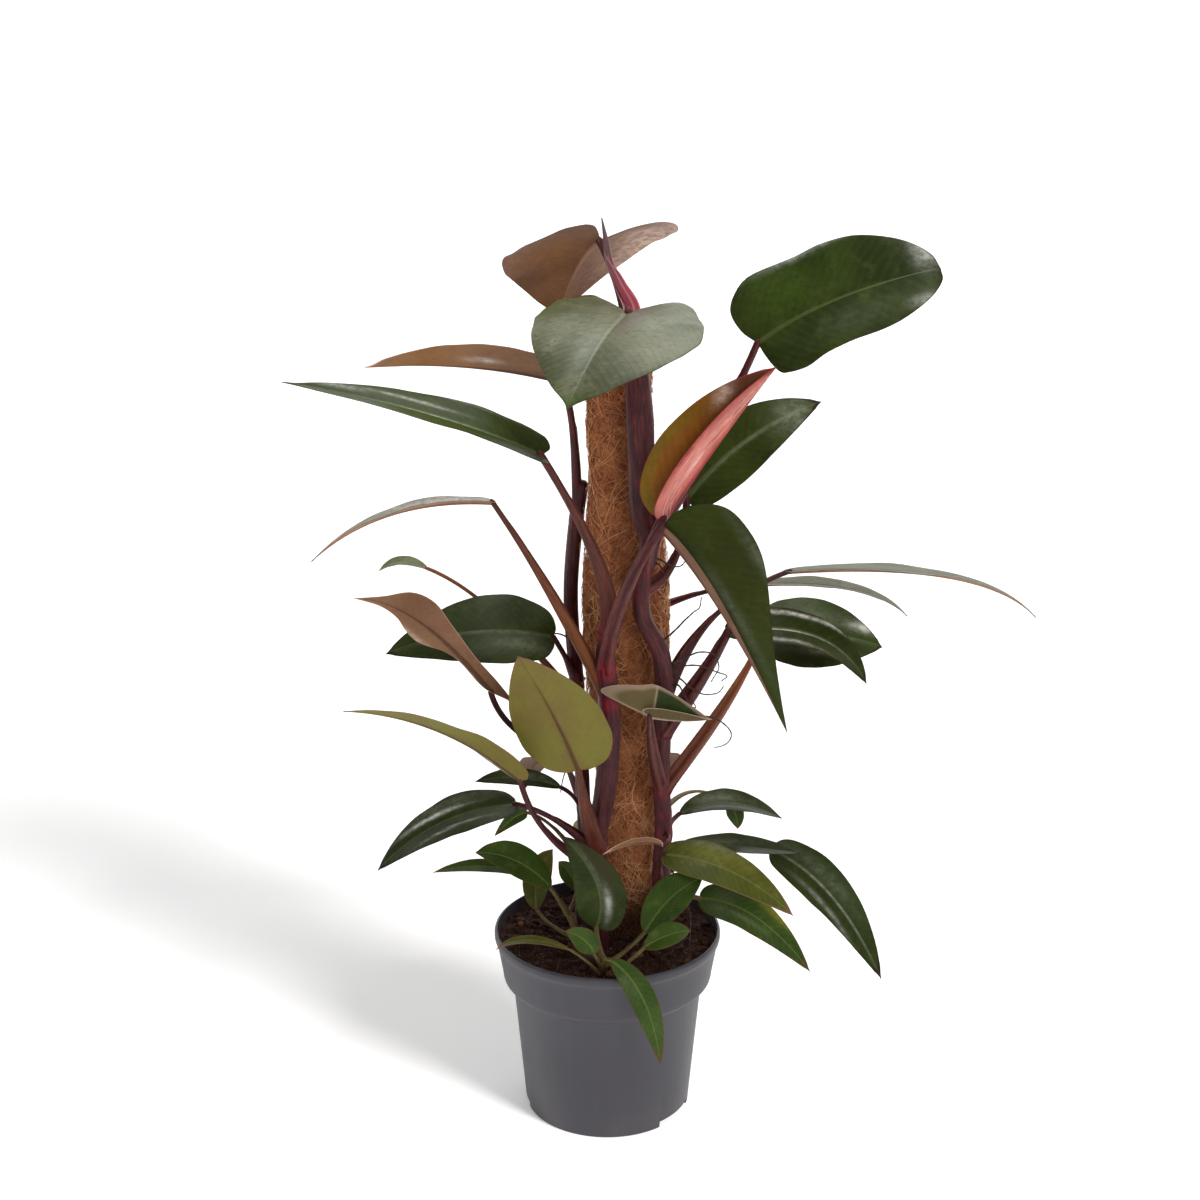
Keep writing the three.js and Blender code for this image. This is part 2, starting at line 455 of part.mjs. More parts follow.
function pot() {
  const { outer, inner } = potProfiles();
  let hollow = turned(inner);
  for (const block of notchRoofs(0)) {
    hollow = hollow.subtract(block);
  }
  let body = turned(outer).subtract(hollow);
  notchAngles.forEach((angle, i) => {
    const width = notchWidths[i];
    body = body.subtract(ringSector(baseRadius - notchDepth, baseRadius + 3, angle, width, -1, notchHeight));
    for (const side of [-0.25, 0.25]) {
      const turn = radians(angle + side * width);
      const hole = new THREE.CylinderGeometry(drainHole / 2, drainHole / 2, 8, 8);
      hole.rotateX(Math.PI / 2);
      hole.translate(Math.cos(turn) * (baseRadius - 6), Math.sin(turn) * (baseRadius - 6), notchHeight + 1);
      body = body.subtract(solidOf(hole));
    }
  });
  return mainBody(body);
}

// Soil: fills the pot to a little under the rim, with a crumbly, slightly heaped top
function soilHeight(x, y) {
  const heap = 3 * Math.cos((Math.hypot(x, y) / rimRadius) * 1.5);
  const crumbs = 1.1 * Math.sin(x * 0.21 + 1.3) * Math.cos(y * 0.17) + 0.9 * Math.sin(x * 0.07 - y * 0.31);
  return potHeight - soilDepthUnderRim + heap + crumbs - 2;
}

function soil() {
  const { inner } = potProfiles();
  const top = potHeight - soilDepthUnderRim;
  const rise = (top - collarFootHeight - 2) / (potHeight - 4 - collarFootHeight);
  const topRadius = THREE.MathUtils.lerp(collarFootRadius - wallThickness, rimRadius - wallThickness - 0.8, rise);
  const sides = inner.slice(0, 6).map(([r, z], i) => [i === 0 ? 0 : r - gap, z + (i < 2 ? gap : 0)]);
  const cover = [1, 0.84, 0.6, 0.36].map((share) => [share * (topRadius - 1), top]);
  const points = [...sides, ...cover, [0, top]].map(([r, z]) => new THREE.Vector2(r, z));
  const geometry = new THREE.LatheGeometry(points, turns);
  geometry.rotateX(Math.PI / 2);
  const position = geometry.attributes.position;
  for (let i = 0; i < position.count; i += 1) {
    if (Math.abs(position.getZ(i) - top) < 1e-3) {
      position.setZ(i, soilHeight(position.getX(i), position.getY(i)));
    }
  }
  let body = solidOf(geometry);
  for (const block of notchRoofs(gap)) {
    body = body.subtract(block);
  }
  return body;
}

// Coir pole: a lumpy wrap round a wooden stake
function poleCentre(height) {
  const next = poleRings.findIndex((ring) => ring[2] >= height);
  const high = poleRings[Math.max(next, 1)];
  const low = poleRings[Math.max(next, 1) - 1];
  const share = THREE.MathUtils.clamp((height - low[2]) / (high[2] - low[2]), 0, 1);
  return low.map((value, i) => THREE.MathUtils.lerp(value, high[i], share));
}

function coirBody(grow) {
  const steps = 15;
  const rings = [];
  for (let i = 0; i <= steps; i += 1) {
    const height = THREE.MathUtils.lerp(poleFoot - grow, poleTop + grow, i / steps);
    const [x, y, , radius] = poleCentre(height);
    const ring = [];
    for (let k = 0; k < poleSides; k += 1) {
      const turn = (2 * Math.PI * k) / poleSides;
      const lump = 0.8 * Math.sin(3 * turn + height * 0.05) + 0.6 * Math.sin(5 * turn - height * 0.09);
      const shoulder = i === steps ? 3 : 0;
      const r = radius + lump + grow - shoulder;
      ring.push(new THREE.Vector3(x + r * Math.cos(turn), y + r * Math.sin(turn), height));
    }
    rings.push(ring);
  }
  return solidOf(skin(rings));
}

function stake(grow) {
  const route = [coreFoot - grow, 200, 400, 530, coreTop - 6 + grow].map((height) => {
    const [x, y] = poleCentre(Math.max(height, poleFoot));
    return new THREE.Vector3(x, y, height);
  });
  return solidOf(stem(route, route.map(() => coreRadius + grow), 10));
}

// Stems, with their aerial roots grown out of them; grow thickens and lengthens them all round
function lengthened(route, grow) {
  const last = route.length - 1;
  const foot = route[0].clone().sub(route[1]).setLength(grow);
  const head = route[last].clone().sub(route[last - 1]).setLength(grow);
  return route.map((p, i) => {
    if (i === 0) {
      return p.clone().add(foot);
    }
    return i === last ? p.clone().add(head) : p;
  });
}

function vineBody(vine, grow) {
  const steps = Math.round(vine.points.length * 1.8);
  const route = smoothRoute(vine.points, steps);
  const radii = route.map((_, i) => {
    const knuckle = vine.points.length > 4 ? 0.5 * Math.cos((i * Math.PI * 2) / 4) : 0;
    return along(vine.radii, i / steps) + knuckle + grow;
  });
  let body = solidOf(stem(grow > 0 ? lengthened(route, grow) : route, radii, 8));
  for (const root of vine.roots) {
    const path = smoothRoute([root.from, ...root.by], 7);
    const thin = path.map((_, i) => THREE.MathUtils.lerp(1.1, 0.6, i / 7) + grow);
    body = body.add(solidOf(stem(grow > 0 ? lengthened(path, grow) : path, thin, 4)));
  }
  return body;
}

// The rolled new leaf at the top of the main stem
function spike(grow) {
  const points = [[19, -28, 672], [17, -24, 687], [9, -22, 702], [1, -21, 719], [-2, -21, 736], [-5, -20, 752]];
  const route = smoothRoute(points, 8);
  const radii = route.map((_, i) => along([7.6, 6.6, 4.6, 3.2, 2.1, 0.5], i / 8) + grow);
  return solidOf(stem(route, radii, 8));
}

// Leaf: midrib frame, blade, stalk
function midribPoint(leaf, w) {
  const [base, bend, tip] = [leaf.base, leaf.bend, leaf.tip].map(vector);
  if (w < 0) {
    return base.clone().addScaledVector(bend.sub(base), 2 * w);
  }
  return base.multiplyScalar((1 - w) ** 2).addScaledVector(bend, 2 * w * (1 - w)).addScaledVector(tip, w * w);
}

function midribFrame(leaf, w) {
  const [base, bend, tip] = [leaf.base, leaf.bend, leaf.tip].map(vector);
  const s = Math.max(w, 0);
  const ahead = bend.clone().sub(base).multiplyScalar(1 - s).addScaledVector(tip.sub(bend), s).normalize();
  const face = vector(leaf.face).normalize();
  const up = face.addScaledVector(ahead, -face.dot(ahead)).normalize();
  return { ahead, up, side: new THREE.Vector3().crossVectors(ahead, up) };
}

function bladeOutline(form, rows) {
  const curve = new THREE.CatmullRomCurve3(
    outlines[form].map(([u, w]) => new THREE.Vector3(u, w, 0)), false, 'catmullrom', 0.5);
  return Array.from({ length: rows + 1 }, (_, i) => curve.getPoint(i / rows));
}

// A point of the blade's upper (level 1) or under (level -1) side; v runs from the midrib to an edge
function bladePoint(leaf, edge, root, place, level) {
  const right = place > 0 ? 1 : 0;
  const sign = place > 0 ? 1 : -1;
  const v = Math.abs(place);
  const half = (leaf.width / 2) * (leaf.share ?? [1, 1])[right];
  const spread = Math.max(edge.x, 0);
  const u = spread * half * v;
  const lobed = edge.y < 0 ? edge.y * (leaf.lobe ?? [1, 1])[right] : edge.y;
  const w = root + (lobed - root) * v ** 1.1 + (leaf.sweep ?? [0, 0])[right] * v * spread;
  const fold = radians((leaf.fold ?? evenFold)[right]);
  const q = u / half;
  const phase = right ? 2 : 0;
  const wave = (leaf.wave ?? 0) * q * q * Math.sin(4 * Math.PI * w + phase);
  const rise = u * Math.sin(fold) + (leaf.cup ?? 0) * q * q + wave;
  const ribbed = v === 0 && level < 0 ? THREE.MathUtils.lerp(leaf.stalk * 0.8, 0.3, root) : 0;
  const thick = level * THREE.MathUtils.lerp(bladeMiddle, bladeEdge, v) / 2 - ribbed;
  const [leftFold, rightFold] = (leaf.fold ?? evenFold).map(radians);
  const lean = THREE.MathUtils.lerp((rightFold - leftFold) / 2, sign * fold, Math.min(u / creaseWidth, 1));
  const { up, side } = midribFrame(leaf, w);
  return midribPoint(leaf, w)
    .addScaledVector(side, sign * u * Math.cos(fold) - thick * Math.sin(lean))
    .addScaledVector(up, rise + thick * Math.cos(lean));
}

function bladeSolid(leaf) {
  const { rows, across } = grids[gridOf(leaf)];
  const places = [...across.map((v) => -v).reverse(), 0, ...across];
  const outline = bladeOutline(leaf.form, rows);
  const other = bladeOutline(leaf.other ?? leaf.form, rows);
  const width = places.length;
  const positions = [];
  for (const level of [1, -1]) {
    outline.forEach((edge, i) => {
      const pinched = i === 0 || i === rows;
      for (const place of places) {
        const side = place > 0 ? other[i] : edge;
        const p = bladePoint(leaf, side, (i / rows) ** 1.25, pinched ? 0 : place, level);
        positions.push(p.x, p.y, p.z);
      }
    });
  }
  const under = (rows + 1) * width;
  const index = [];
  const cell = (a, b, c, d) => index.push(a, b, c, a, c, d);
  for (let i = 0; i < rows; i += 1) {
    for (let k = 0; k + 1 < width; k += 1) {
      const a = i * width + k;
      const b = a + 1;
      const c = b + width;
      const d = a + width;
      cell(a, b, c, d);
      index.push(under + a, under + c, under + b, under + a, under + d, under + c);
    }
    const left = i * width;
    const right = left + width - 1;
    cell(left, left + width, under + left + width, under + left);
    cell(right, under + right, under + right + width, right + width);
  }
  const geometry = new THREE.BufferGeometry();
  geometry.setAttribute('position', new THREE.Float32BufferAttribute(positions, 3));
  geometry.setIndex(index);
  return solidOf(dropFlat(geometry));
}

// Triangles that the pinched ends leave without area
function dropFlat(geometry) {
  const merged = mergeVertices(geometry, 1e-4);
  const source = merged.index.array;
  const kept = [];
  for (let i = 0; i < source.length; i += 3) {
    const [a, b, c] = source.slice(i, i + 3);
    if (a !== b && b !== c && c !== a) {
      kept.push(a, b, c);
    }
  }
  merged.setIndex(kept);
  return merged;
}

function stalkSolid(leaf) {
  const { steps, sides } = grids[gridOf(leaf)];
  const curve = new THREE.QuadraticBezierCurve3(vector(leaf.root), vector(leaf.elbow), vector(leaf.base));
  const route = Array.from({ length: steps + 1 }, (_, i) => curve.getPoint(i / steps));
  const radii = route.map((_, i) => {
    const share = THREE.MathUtils.smoothstep(i / steps / (leaf.reach ?? 0.6), 0, 1);
    return THREE.MathUtils.lerp(leaf.sheath, leaf.stalk, share ** sheathTaper);
  });
  const onward = route[steps].clone().sub(route[steps - 1]).normalize();
  route.push(route[steps].clone().addScaledVector(onward, leaf.stalk * 0.7));
  radii.push(leaf.stalk * 0.6);
  return solidOf(stem(route, radii, sides));
}

// Stalk and blade in one, cut clear of what the stalk clasps
function leafSolid(leaf, obstacles) {
  let body = stalkSolid(leaf).add(bladeSolid(leaf));
  for (const obstacle of obstacles) {
    body = body.subtract(obstacle);
  }
  return mainBody(body);
}

// Assembly
const part = new THREE.Group();

function place(name, solid, colour, roughness = 0.6) {
  const material = new THREE.MeshStandardMaterial({ color: colours[colour], roughness, metalness: 0 });
  const mesh = new THREE.Mesh(geometryOf(solid), material);
  mesh.name = name;
  part.add(mesh);
}

const coirGrown = coirBody(gap);
const stakeGrown = stake(gap);
const spikeGrown = spike(gap);
const vineGrown = {};
let ground = soil().subtract(coirGrown).subtract(stakeGrown);

for (const [name, vine] of Object.entries(vines)) {
  vineGrown[name] = vineBody(vine, gap);
  ground = ground.subtract(vineGrown[name]);
}

place('pot', pot(), 'pot', 0.45);
place('soil', mainBody(ground), 'soil', 0.95);
place('pole_core', stake(0), 'wood', 0.8);
place('pole_coir', coirBody(0).subtract(stakeGrown), 'coir', 0.95);

for (const [name, vine] of Object.entries(vines)) {
  let body = vineBody(vine, 0).subtract(coirGrown);
  if (name.startsWith('shoot')) {
    for (const leaf of leaves.filter((each) => each.vine === name)) {
      body = body.add(stalkSolid(leaf)).add(bladeSolid(leaf));
    }
  }
  place(name, mainBody(body), name.startsWith('shoot') ? 'fresh' : 'vine', 0.5);
}

place('leaf_spike', mainBody(spike(0).subtract(vineGrown.vine_right)), 'spike', 0.4);
for (const leaf of [...leaves, ...backLeaves]) {
  if (!leaf.vine.startsWith('shoot')) {
    place(leaf.name, leafSolid(leaf, [vineGrown[leaf.vine], coirGrown, spikeGrown]), leaf.colour, 0.4);
  }
}

export default part;
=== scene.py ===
# Looks of a potted philodendron that climbs a coir pole.
# Tables are in millimetres, in the frame of the solids; meshes are made in metres.
import math

import bmesh
import bpy
import numpy as np
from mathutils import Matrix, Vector


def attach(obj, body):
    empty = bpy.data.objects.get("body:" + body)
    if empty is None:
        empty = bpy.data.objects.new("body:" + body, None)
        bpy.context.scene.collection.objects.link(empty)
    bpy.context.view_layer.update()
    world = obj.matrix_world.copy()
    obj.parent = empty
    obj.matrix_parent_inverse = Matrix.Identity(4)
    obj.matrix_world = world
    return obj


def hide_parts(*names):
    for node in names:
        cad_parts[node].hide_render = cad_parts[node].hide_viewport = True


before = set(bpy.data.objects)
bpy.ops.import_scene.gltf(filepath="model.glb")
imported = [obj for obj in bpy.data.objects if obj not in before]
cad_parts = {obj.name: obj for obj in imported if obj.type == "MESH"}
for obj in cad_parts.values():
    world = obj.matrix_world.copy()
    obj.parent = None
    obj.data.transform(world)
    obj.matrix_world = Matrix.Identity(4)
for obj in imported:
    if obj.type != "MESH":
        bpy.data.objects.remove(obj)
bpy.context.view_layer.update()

scene = bpy.context.scene
mm = 0.001


# colours and shader sums
def rgb(red, green, blue, alpha=1.0):  # a colour as a picture program shows it, 0 to 255
    def straight(c):
        c = c / 255
        return c / 12.92 if c <= 0.04045 else ((c + 0.055) / 1.055) ** 2.4
    return (straight(red), straight(green), straight(blue), alpha)


class Wire:  # an output socket, with the sums that materials use
    def __init__(self, tree, socket=None):
        self.tree = tree
        self.socket = socket

    def make(self, kind, settings=None, sockets=None, out=0):
        node = self.tree.nodes.new(kind)
        for name, value in (settings or {}).items():
            if name == "stops":
                ramp = node.color_ramp
                while len(ramp.elements) < len(value):
                    ramp.elements.new(0.5)
                for element, (place, colour) in zip(ramp.elements, value):
                    element.position = place
                    element.color = colour
            else:
                setattr(node, name, value)
        for place, value in (sockets or {}).items():
            if isinstance(value, Wire):
                self.tree.links.new(value.socket, node.inputs[place])
            elif value is not None:
                node.inputs[place].default_value = value
        return Wire(self.tree, node.outputs[out] if node.outputs else None)

    def sum(self, operation, first, second=None):
        return self.make("ShaderNodeMath", {"operation": operation}, {0: first, 1: second})

    def __add__(self, other):
        return self.sum("ADD", self, other)

    __radd__ = __add__

    def __sub__(self, other):
        return self.sum("SUBTRACT", self, other)

    def __rsub__(self, other):
        return self.sum("SUBTRACT", other, self)

    def __mul__(self, other):
        return self.sum("MULTIPLY", self, other)

    __rmul__ = __mul__

    def size(self):
        return self.sum("ABSOLUTE", self)

    def part(self):
        return self.sum("FRACT", self)

    def step(self, low, high):  # 0 below low, 1 above high, smooth between; high may be the lower
        return self.make("ShaderNodeMapRange", {"interpolation_type": "SMOOTHSTEP"},
                         {"Value": self, "From Min": low, "From Max": high})

    def value(self, name):
        return self.make("ShaderNodeAttribute", {"attribute_name": name}, out="Fac")

    def place(self, name):
        return self.make("ShaderNodeAttribute", {"attribute_name": name}, out="Vector")

    def axis(self, name):
        return self.make("ShaderNodeSeparateXYZ", {}, {0: self}, out=name)

    def here(self):
        return self.make("ShaderNodeTexCoord", out="Object")

    def stretched(self, x, y, z):
        return self.make("ShaderNodeVectorMath", {"operation": "MULTIPLY"}, {0: self, 1: (x, y, z)})

    def noise(self, scale, detail=3, rough=0.55, at=None):
        return self.make("ShaderNodeTexNoise", {},
                         {"Vector": at or self.here(), "Scale": scale, "Detail": detail, "Roughness": rough})

    def mixed(self, first, second, share):
        return Wire(self.tree, self.make("ShaderNodeMix", {"data_type": "RGBA"},
                                         {0: share, 6: first, 7: second}).socket.node.outputs[2])

    def bump(self, height, distance, strength=1.0):
        return self.make("ShaderNodeBump", {}, {"Height": height, "Distance": distance, "Strength": strength})

    def close(self, colour, roughness, normal=None, **fixed):
        sockets = {"Base Color": colour, "Roughness": roughness}
        sockets.update({key.replace("_", " "): value for key, value in fixed.items()})
        if normal:
            sockets["Normal"] = normal
        surface = self.make("ShaderNodeBsdfPrincipled", {}, sockets)
        self.make("ShaderNodeOutputMaterial", {}, {"Surface": surface})


def newSkin(name):
    skin = bpy.data.materials.new(name)
    skin.use_nodes = True
    skin.node_tree.nodes.clear()
    return skin, Wire(skin.node_tree)


# mesh helpers
def unit(v):
    return v / np.maximum(np.linalg.norm(v, axis=-1, keepdims=True), 1e-9)


def smooth(t):
    t = np.clip(t, 0, 1)
    return t * t * (3 - 2 * t)


def between(a, b, t):
    return a + (b - a) * t


def curveThrough(points, places):  # a smooth curve through points, read at places from 0 to 1
    p = np.asarray(points, float)
    p = np.vstack([2 * p[0] - p[1], p, 2 * p[-1] - p[-2]])
    t = np.clip(np.asarray(places, float), 0, 1) * (len(p) - 3)
    k = np.minimum(t.astype(int), len(p) - 4)
    f = (t - k)[:, None]
    a, b, c, d = p[k], p[k + 1], p[k + 2], p[k + 3]
    return b + 0.5 * f * ((c - a) + f * ((2 * a - 5 * b + 4 * c - d) + f * (3 * (b - c) + d - a)))


def listed(values, places):  # a short list read evenly along it
    return np.interp(places, np.linspace(0, 1, len(values)), values)


def gridFaces(ids, turned=False):
    a, b, c, d = ids[:-1, :-1], ids[:-1, 1:], ids[1:, 1:], ids[1:, :-1]
    order = [a, d, c, b] if turned else [a, b, c, d]
    quads = np.stack(order, -1).reshape(-1, 4).tolist()
    return [face for face in (list(dict.fromkeys(q)) for q in quads) if len(face) > 2]


def ringIds(rings, sides):
    ids = np.arange(rings * sides).reshape(rings, sides)
    return np.concatenate([ids, ids[:, :1]], 1)


def tubeFaces(rings, sides):  # side walls and two flat ends
    faces = gridFaces(ringIds(rings, sides))
    faces.append(list(range(sides))[::-1])
    faces.append(list(range((rings - 1) * sides, rings * sides)))
    return faces


def carriedFrame(route, start, backwards=False):  # directions ahead, up and aside along a route
    ahead = unit(np.gradient(route, axis=0))
    up = np.empty_like(route)
    current = np.asarray(start, float)
    order = range(len(route) - 1, -1, -1) if backwards else range(len(route))
    for i in order:
        current = current - ahead[i] * (current @ ahead[i])
        current = current / max(np.linalg.norm(current), 1e-9)
        up[i] = current
    return ahead, up, np.cross(ahead, up)


def tubePoints(route, radii, turns, start, backwards=False):  # radii: one row for each ring
    ahead, up, aside = carriedFrame(route, start, backwards)
    c, s = np.cos(turns)[None, :, None], np.sin(turns)[None, :, None]
    return route[:, None] + radii[..., None] * (c * up[:, None] + s * aside[:, None])


def ringTurns(sides):
    return np.linspace(0, 2 * math.pi, sides, endpoint=False)


def tubeGrain(rows, turn, long, shift=0):  # places on a tube's skin, in centimetres
    c, s = np.cos(turn)[None], np.sin(turn)[None]
    return np.stack([c * rows / 10 + shift, s * rows / 10, long[:, None] / 10 + 0 * c], -1)


def lengthAlong(route):
    return np.concatenate([[0], np.cumsum(np.linalg.norm(np.diff(route, axis=0), axis=1))])


def meshOf(name, points, faces, scale=mm):
    mesh = bpy.data.meshes.new(name)
    mesh.from_pydata((np.asarray(points, float).reshape(-1, 3) * scale).tolist(), [], faces)
    return mesh


def placed(name, data):
    item = bpy.data.objects.new(name, data)
    scene.collection.objects.link(item)
    return item


def ridden(item, nodes=()):
    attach(item, "root")
    if nodes:
        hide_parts(*nodes)


class Heap:  # points, faces and surface values of one piece
    def __init__(self):
        self.points = []
        self.faces = []
        self.skins = []
        self.values = {}
        self.count = 0

    def add(self, points, faces, skin=0, **values):
        points = np.asarray(points, float).reshape(-1, 3)
        for face in faces:
            self.faces.append([self.count + k for k in face])
        self.skins += [skin] * len(faces)
        for name, value in values.items():
            value = np.asarray(value, np.float32)
            self.values.setdefault(name, []).append((self.count, value.reshape(len(points), -1)))
        self.points.append(points)
        self.count += len(points)

    def piece(self, name, skins, nodes=(), slot=None):
        mesh = meshOf(name, np.vstack(self.points), self.faces)
        for skin in skins:
            mesh.materials.append(skin)
        mesh.polygons.foreach_set("material_index", self.skins)
        for key, parts in self.values.items():
            width = parts[0][1].shape[1]
            whole = np.zeros((self.count, width), np.float32)
            for start, value in parts:
                whole[start:start + len(value)] = value
            kind = "FLOAT_VECTOR" if width == 3 else "FLOAT"
            layer = mesh.attributes.new(key, kind, "POINT")
            layer.data.foreach_set("vector" if width == 3 else "value", whole.ravel())
        mesh.shade_smooth()
        ridden(placed(name, mesh), nodes)


# camera, light and floor
view = dict(place=(-6.2, -1500, 908), pitch=17.06, lens=58.8, sensor=36)
light = dict(
    world=0.34, paper=rgb(248, 248, 248), shaded=rgb(244, 244, 244), glow=0.2,
    sun=dict(turn=(60, 0, 48), angle=18, strength=4.3, colour=(1, 0.99, 0.98)),  # on the paper alone
    lamps=[  # on the plant alone: name, place and aim in metres, size, watts, colour
        ("soft_box", (0.15, 0.2, 2.0), (0, 0, 0.4), 1.0, 19, (1, 0.99, 0.96)),
        ("front_fill", (0.9, -1.9, 1.5), (0, 0, 0.35), 1.0, 15, (1, 0.985, 0.955)),
    ],
)


def studio():
    lens = bpy.data.cameras.new("camera")
    lens.sensor_width = view["sensor"]
    lens.lens = view["lens"]
    lens.clip_end = 200
    eye = placed("camera", lens)
    eye.location = Vector(view["place"]) * mm
    eye.rotation_euler = (math.radians(90 - view["pitch"]), 0, 0)
    scene.camera = eye

    world = bpy.data.worlds.new("studio")
    world.use_nodes = True
    world.node_tree.nodes["Background"].inputs["Color"].default_value = (1, 1, 1, 1)
    world.node_tree.nodes["Background"].inputs["Strength"].default_value = light["world"]
    scene.world = world
    scene.view_settings.view_transform = "Standard"

    sun = bpy.data.lights.new("window_light", "SUN")
    sun.angle = math.radians(light["sun"]["angle"])
    sun.energy = light["sun"]["strength"]
    sun.color = light["sun"]["colour"]
    window = placed("window_light", sun)
    window.rotation_euler = [math.radians(a) for a in light["sun"]["turn"]]
    lamps = []
    for name, place, aim, size, watts, colour in light["lamps"]:
        lamp = bpy.data.lights.new(name, "AREA")
        lamp.shape = "DISK"
        lamp.size = size
        lamp.energy = watts
        lamp.color = colour
        shade = placed(name, lamp)
        shade.location = place
        shade.rotation_euler = (Vector(aim) - Vector(place)).to_track_quat("-Z", "Y").to_euler()
        lamps.append(shade)

    skin, wire = newSkin("floor_paper")
    soft = wire.noise(0.7, 2)
    wire.close(wire.mixed(light["paper"], light["shaded"], soft * 0.3), 0.9,
               Emission_Color=(1, 1, 1, 1), Emission_Strength=light["glow"], Specular_IOR_Level=0.1)
    bend = np.linspace(0, math.pi / 2, 24)
    line = [(-14, 0)] + [(8 + 4 * math.sin(a), 4 - 4 * math.cos(a)) for a in bend] + [(12, 14)]
    points = [(x, y, z) for y, z in line for x in (-20, 20)]
    faces = [[2 * i, 2 * i + 1, 2 * i + 3, 2 * i + 2] for i in range(len(line) - 1)]
    mesh = meshOf("paper_sweep", points, faces, 1)
    mesh.shade_smooth()
    mesh.materials.append(skin)
    sweep = placed("paper_sweep", mesh)
    paper = bpy.data.collections.new("paper")
    paper.objects.link(sweep)
    window.light_linking.receiver_collection = paper
    rest = bpy.data.collections.new("all_but_paper")
    rest.objects.link(sweep)
    rest.collection_objects[0].light_linking.link_state = "EXCLUDE"
    for shade in lamps:
        shade.light_linking.receiver_collection = rest


studio()
print("studio made")


# pot
pot = dict(
    height=160, rim=95, base=69.7, wallTop=79.6, wall=1.6, floor=2.2, turns=200,
    notchDepth=20, notchHeight=6, notchAngles=(-32, 84, 186), notchWidths=(38, 34, 26), hole=5,
    colour=rgb(62, 60, 67), worn=rgb(78, 76, 84), dust=rgb(108, 100, 94),
)


def potProfiles():  # radius and height of the outer shape and of the hollow
    p = pot
    t = p["wall"]
    outer = [
        (0, 0), (p["base"] - 1.6, 0), (p["base"] - 0.5, 0.3), (p["base"], 1.4),
        (74.6, 56), (p["wallTop"], 110.4), (80.2, 112.2), (82, 113.4), (86.2, 116.6),
        (87.5, 118.2), (88.1, 120.4), (88.5, 124), (92.2, 145.6), (92.9, 150), (93.5, 151.6),
        (94.5, 152.6), (p["rim"], 154.6), (p["rim"], 158), (94.6, 159.3), (93.6, p["height"]),
        (0, p["height"]),
    ]
    inner = [
        (0, p["floor"]), (p["base"] - t - 0.8, p["floor"]), (p["base"] - t, 3.2),
        (p["wallTop"] - t, 112), (82.5, 116), (85.8, 119.6), (86.9, 124),
        (92, 154), (92.4, 157.5), (92.9, 161), (0, 161),
    ]
    return outer, inner


def turnedMesh(name, profile, sides):
    rings = [(r, z) for r, z in profile if r > 0]
    turn = ringTurns(sides)
    points = np.array([[(r * math.cos(a), r * math.sin(a), z) for a in turn] for r, z in rings])
    return placed(name, meshOf(name, points, tubeFaces(len(rings), sides)))


def sector(name, inner, outer, angle, width, low, high):
    turn = np.radians(np.linspace(angle - width / 2, angle + width / 2, 14))
    ring = [(outer * math.cos(a), outer * math.sin(a)) for a in turn]
    ring += [(inner * math.cos(a), inner * math.sin(a)) for a in turn[::-1]]
    points = np.array([[(x, y, z) for x, y in ring] for z in (low, high)])
    return placed(name, meshOf(name, points, tubeFaces(2, len(ring))))


def cutAway(item, tools):
    for tool in tools:
        cut = item.modifiers.new("cut", "BOOLEAN")
        cut.operation = "DIFFERENCE"
        cut.solver = "EXACT"
        cut.object = tool
    bpy.context.view_layer.update()
    graph = bpy.context.evaluated_depsgraph_get()
    mesh = bpy.data.meshes.new_from_object(item.evaluated_get(graph))
    item.modifiers.clear()
    item.data = mesh
    for tool in tools:
        bpy.data.objects.remove(tool)


def potSkin():
    skin, wire = newSkin("pot_plastic")
    fine = wire.noise(900, 2, 0.6)
    streak = wire.noise(60, 3, 0.6, wire.here().stretched(1, 1, 0.12))
    cloud = wire.noise(14, 3, 0.5)
    height = wire.here().axis("Z")
    low = height.step(0.03, 0.0) * cloud.step(0.35, 0.75)
    colour = wire.mixed(pot["colour"], pot["worn"], streak.step(0.45, 0.8) * 0.35 + fine.step(0.6, 0.8) * 0.2)
    colour = wire.mixed(colour, pot["dust"], low * 0.25)
    wire.close(colour, 0.46 + streak * 0.14 - cloud * 0.08,
               wire.bump(fine * 0.4 + streak * 0.5, 0.00012, 0.5), Specular_IOR_Level=0.45)
    return skin


def makePot():
    outer, inner = potProfiles()
    hollow = turnedMesh("pot_hollow", inner, pot["turns"])
    d, t = pot["base"] - pot["notchDepth"], pot["wall"]
    places = list(zip(pot["notchAngles"], pot["notchWidths"]))
    cutAway(hollow, [sector("roof", d - t, pot["base"] + 2, a, w + 4, -1, pot["notchHeight"] + pot["floor"])
                     for a, w in places])
    tools = [hollow]
    for angle, width in places:
        tools.append(sector("notch", d, pot["base"] + 3, angle, width, -1, pot["notchHeight"]))
        for side in (-0.25, 0.25):
            turn = math.radians(angle + side * width)
            bpy.ops.mesh.primitive_cylinder_add(
                vertices=24, radius=pot["hole"] / 2 * mm, depth=8 * mm,
                location=(math.cos(turn) * (pot["base"] - 6) * mm, math.sin(turn) * (pot["base"] - 6) * mm,
                          (pot["notchHeight"] + 1) * mm))
            tools.append(bpy.context.object)
    body = turnedMesh("pot_shell", outer, pot["turns"])
    cutAway(body, tools)
    body.data.materials.clear()
    body.data.materials.append(potSkin())
    body.data.shade_smooth()
    body.data.set_sharp_from_angle(angle=math.radians(50))
    ridden(body, ["pot"])


makePot()
print("pot made")


# soil
soil = dict(
    seed=11, top=151, lift=1.4, crumbs=1500, threads=520,
    dark=rgb(34, 19, 13), brown=rgb(80, 46, 34), tan=rgb(150, 108, 82),
)


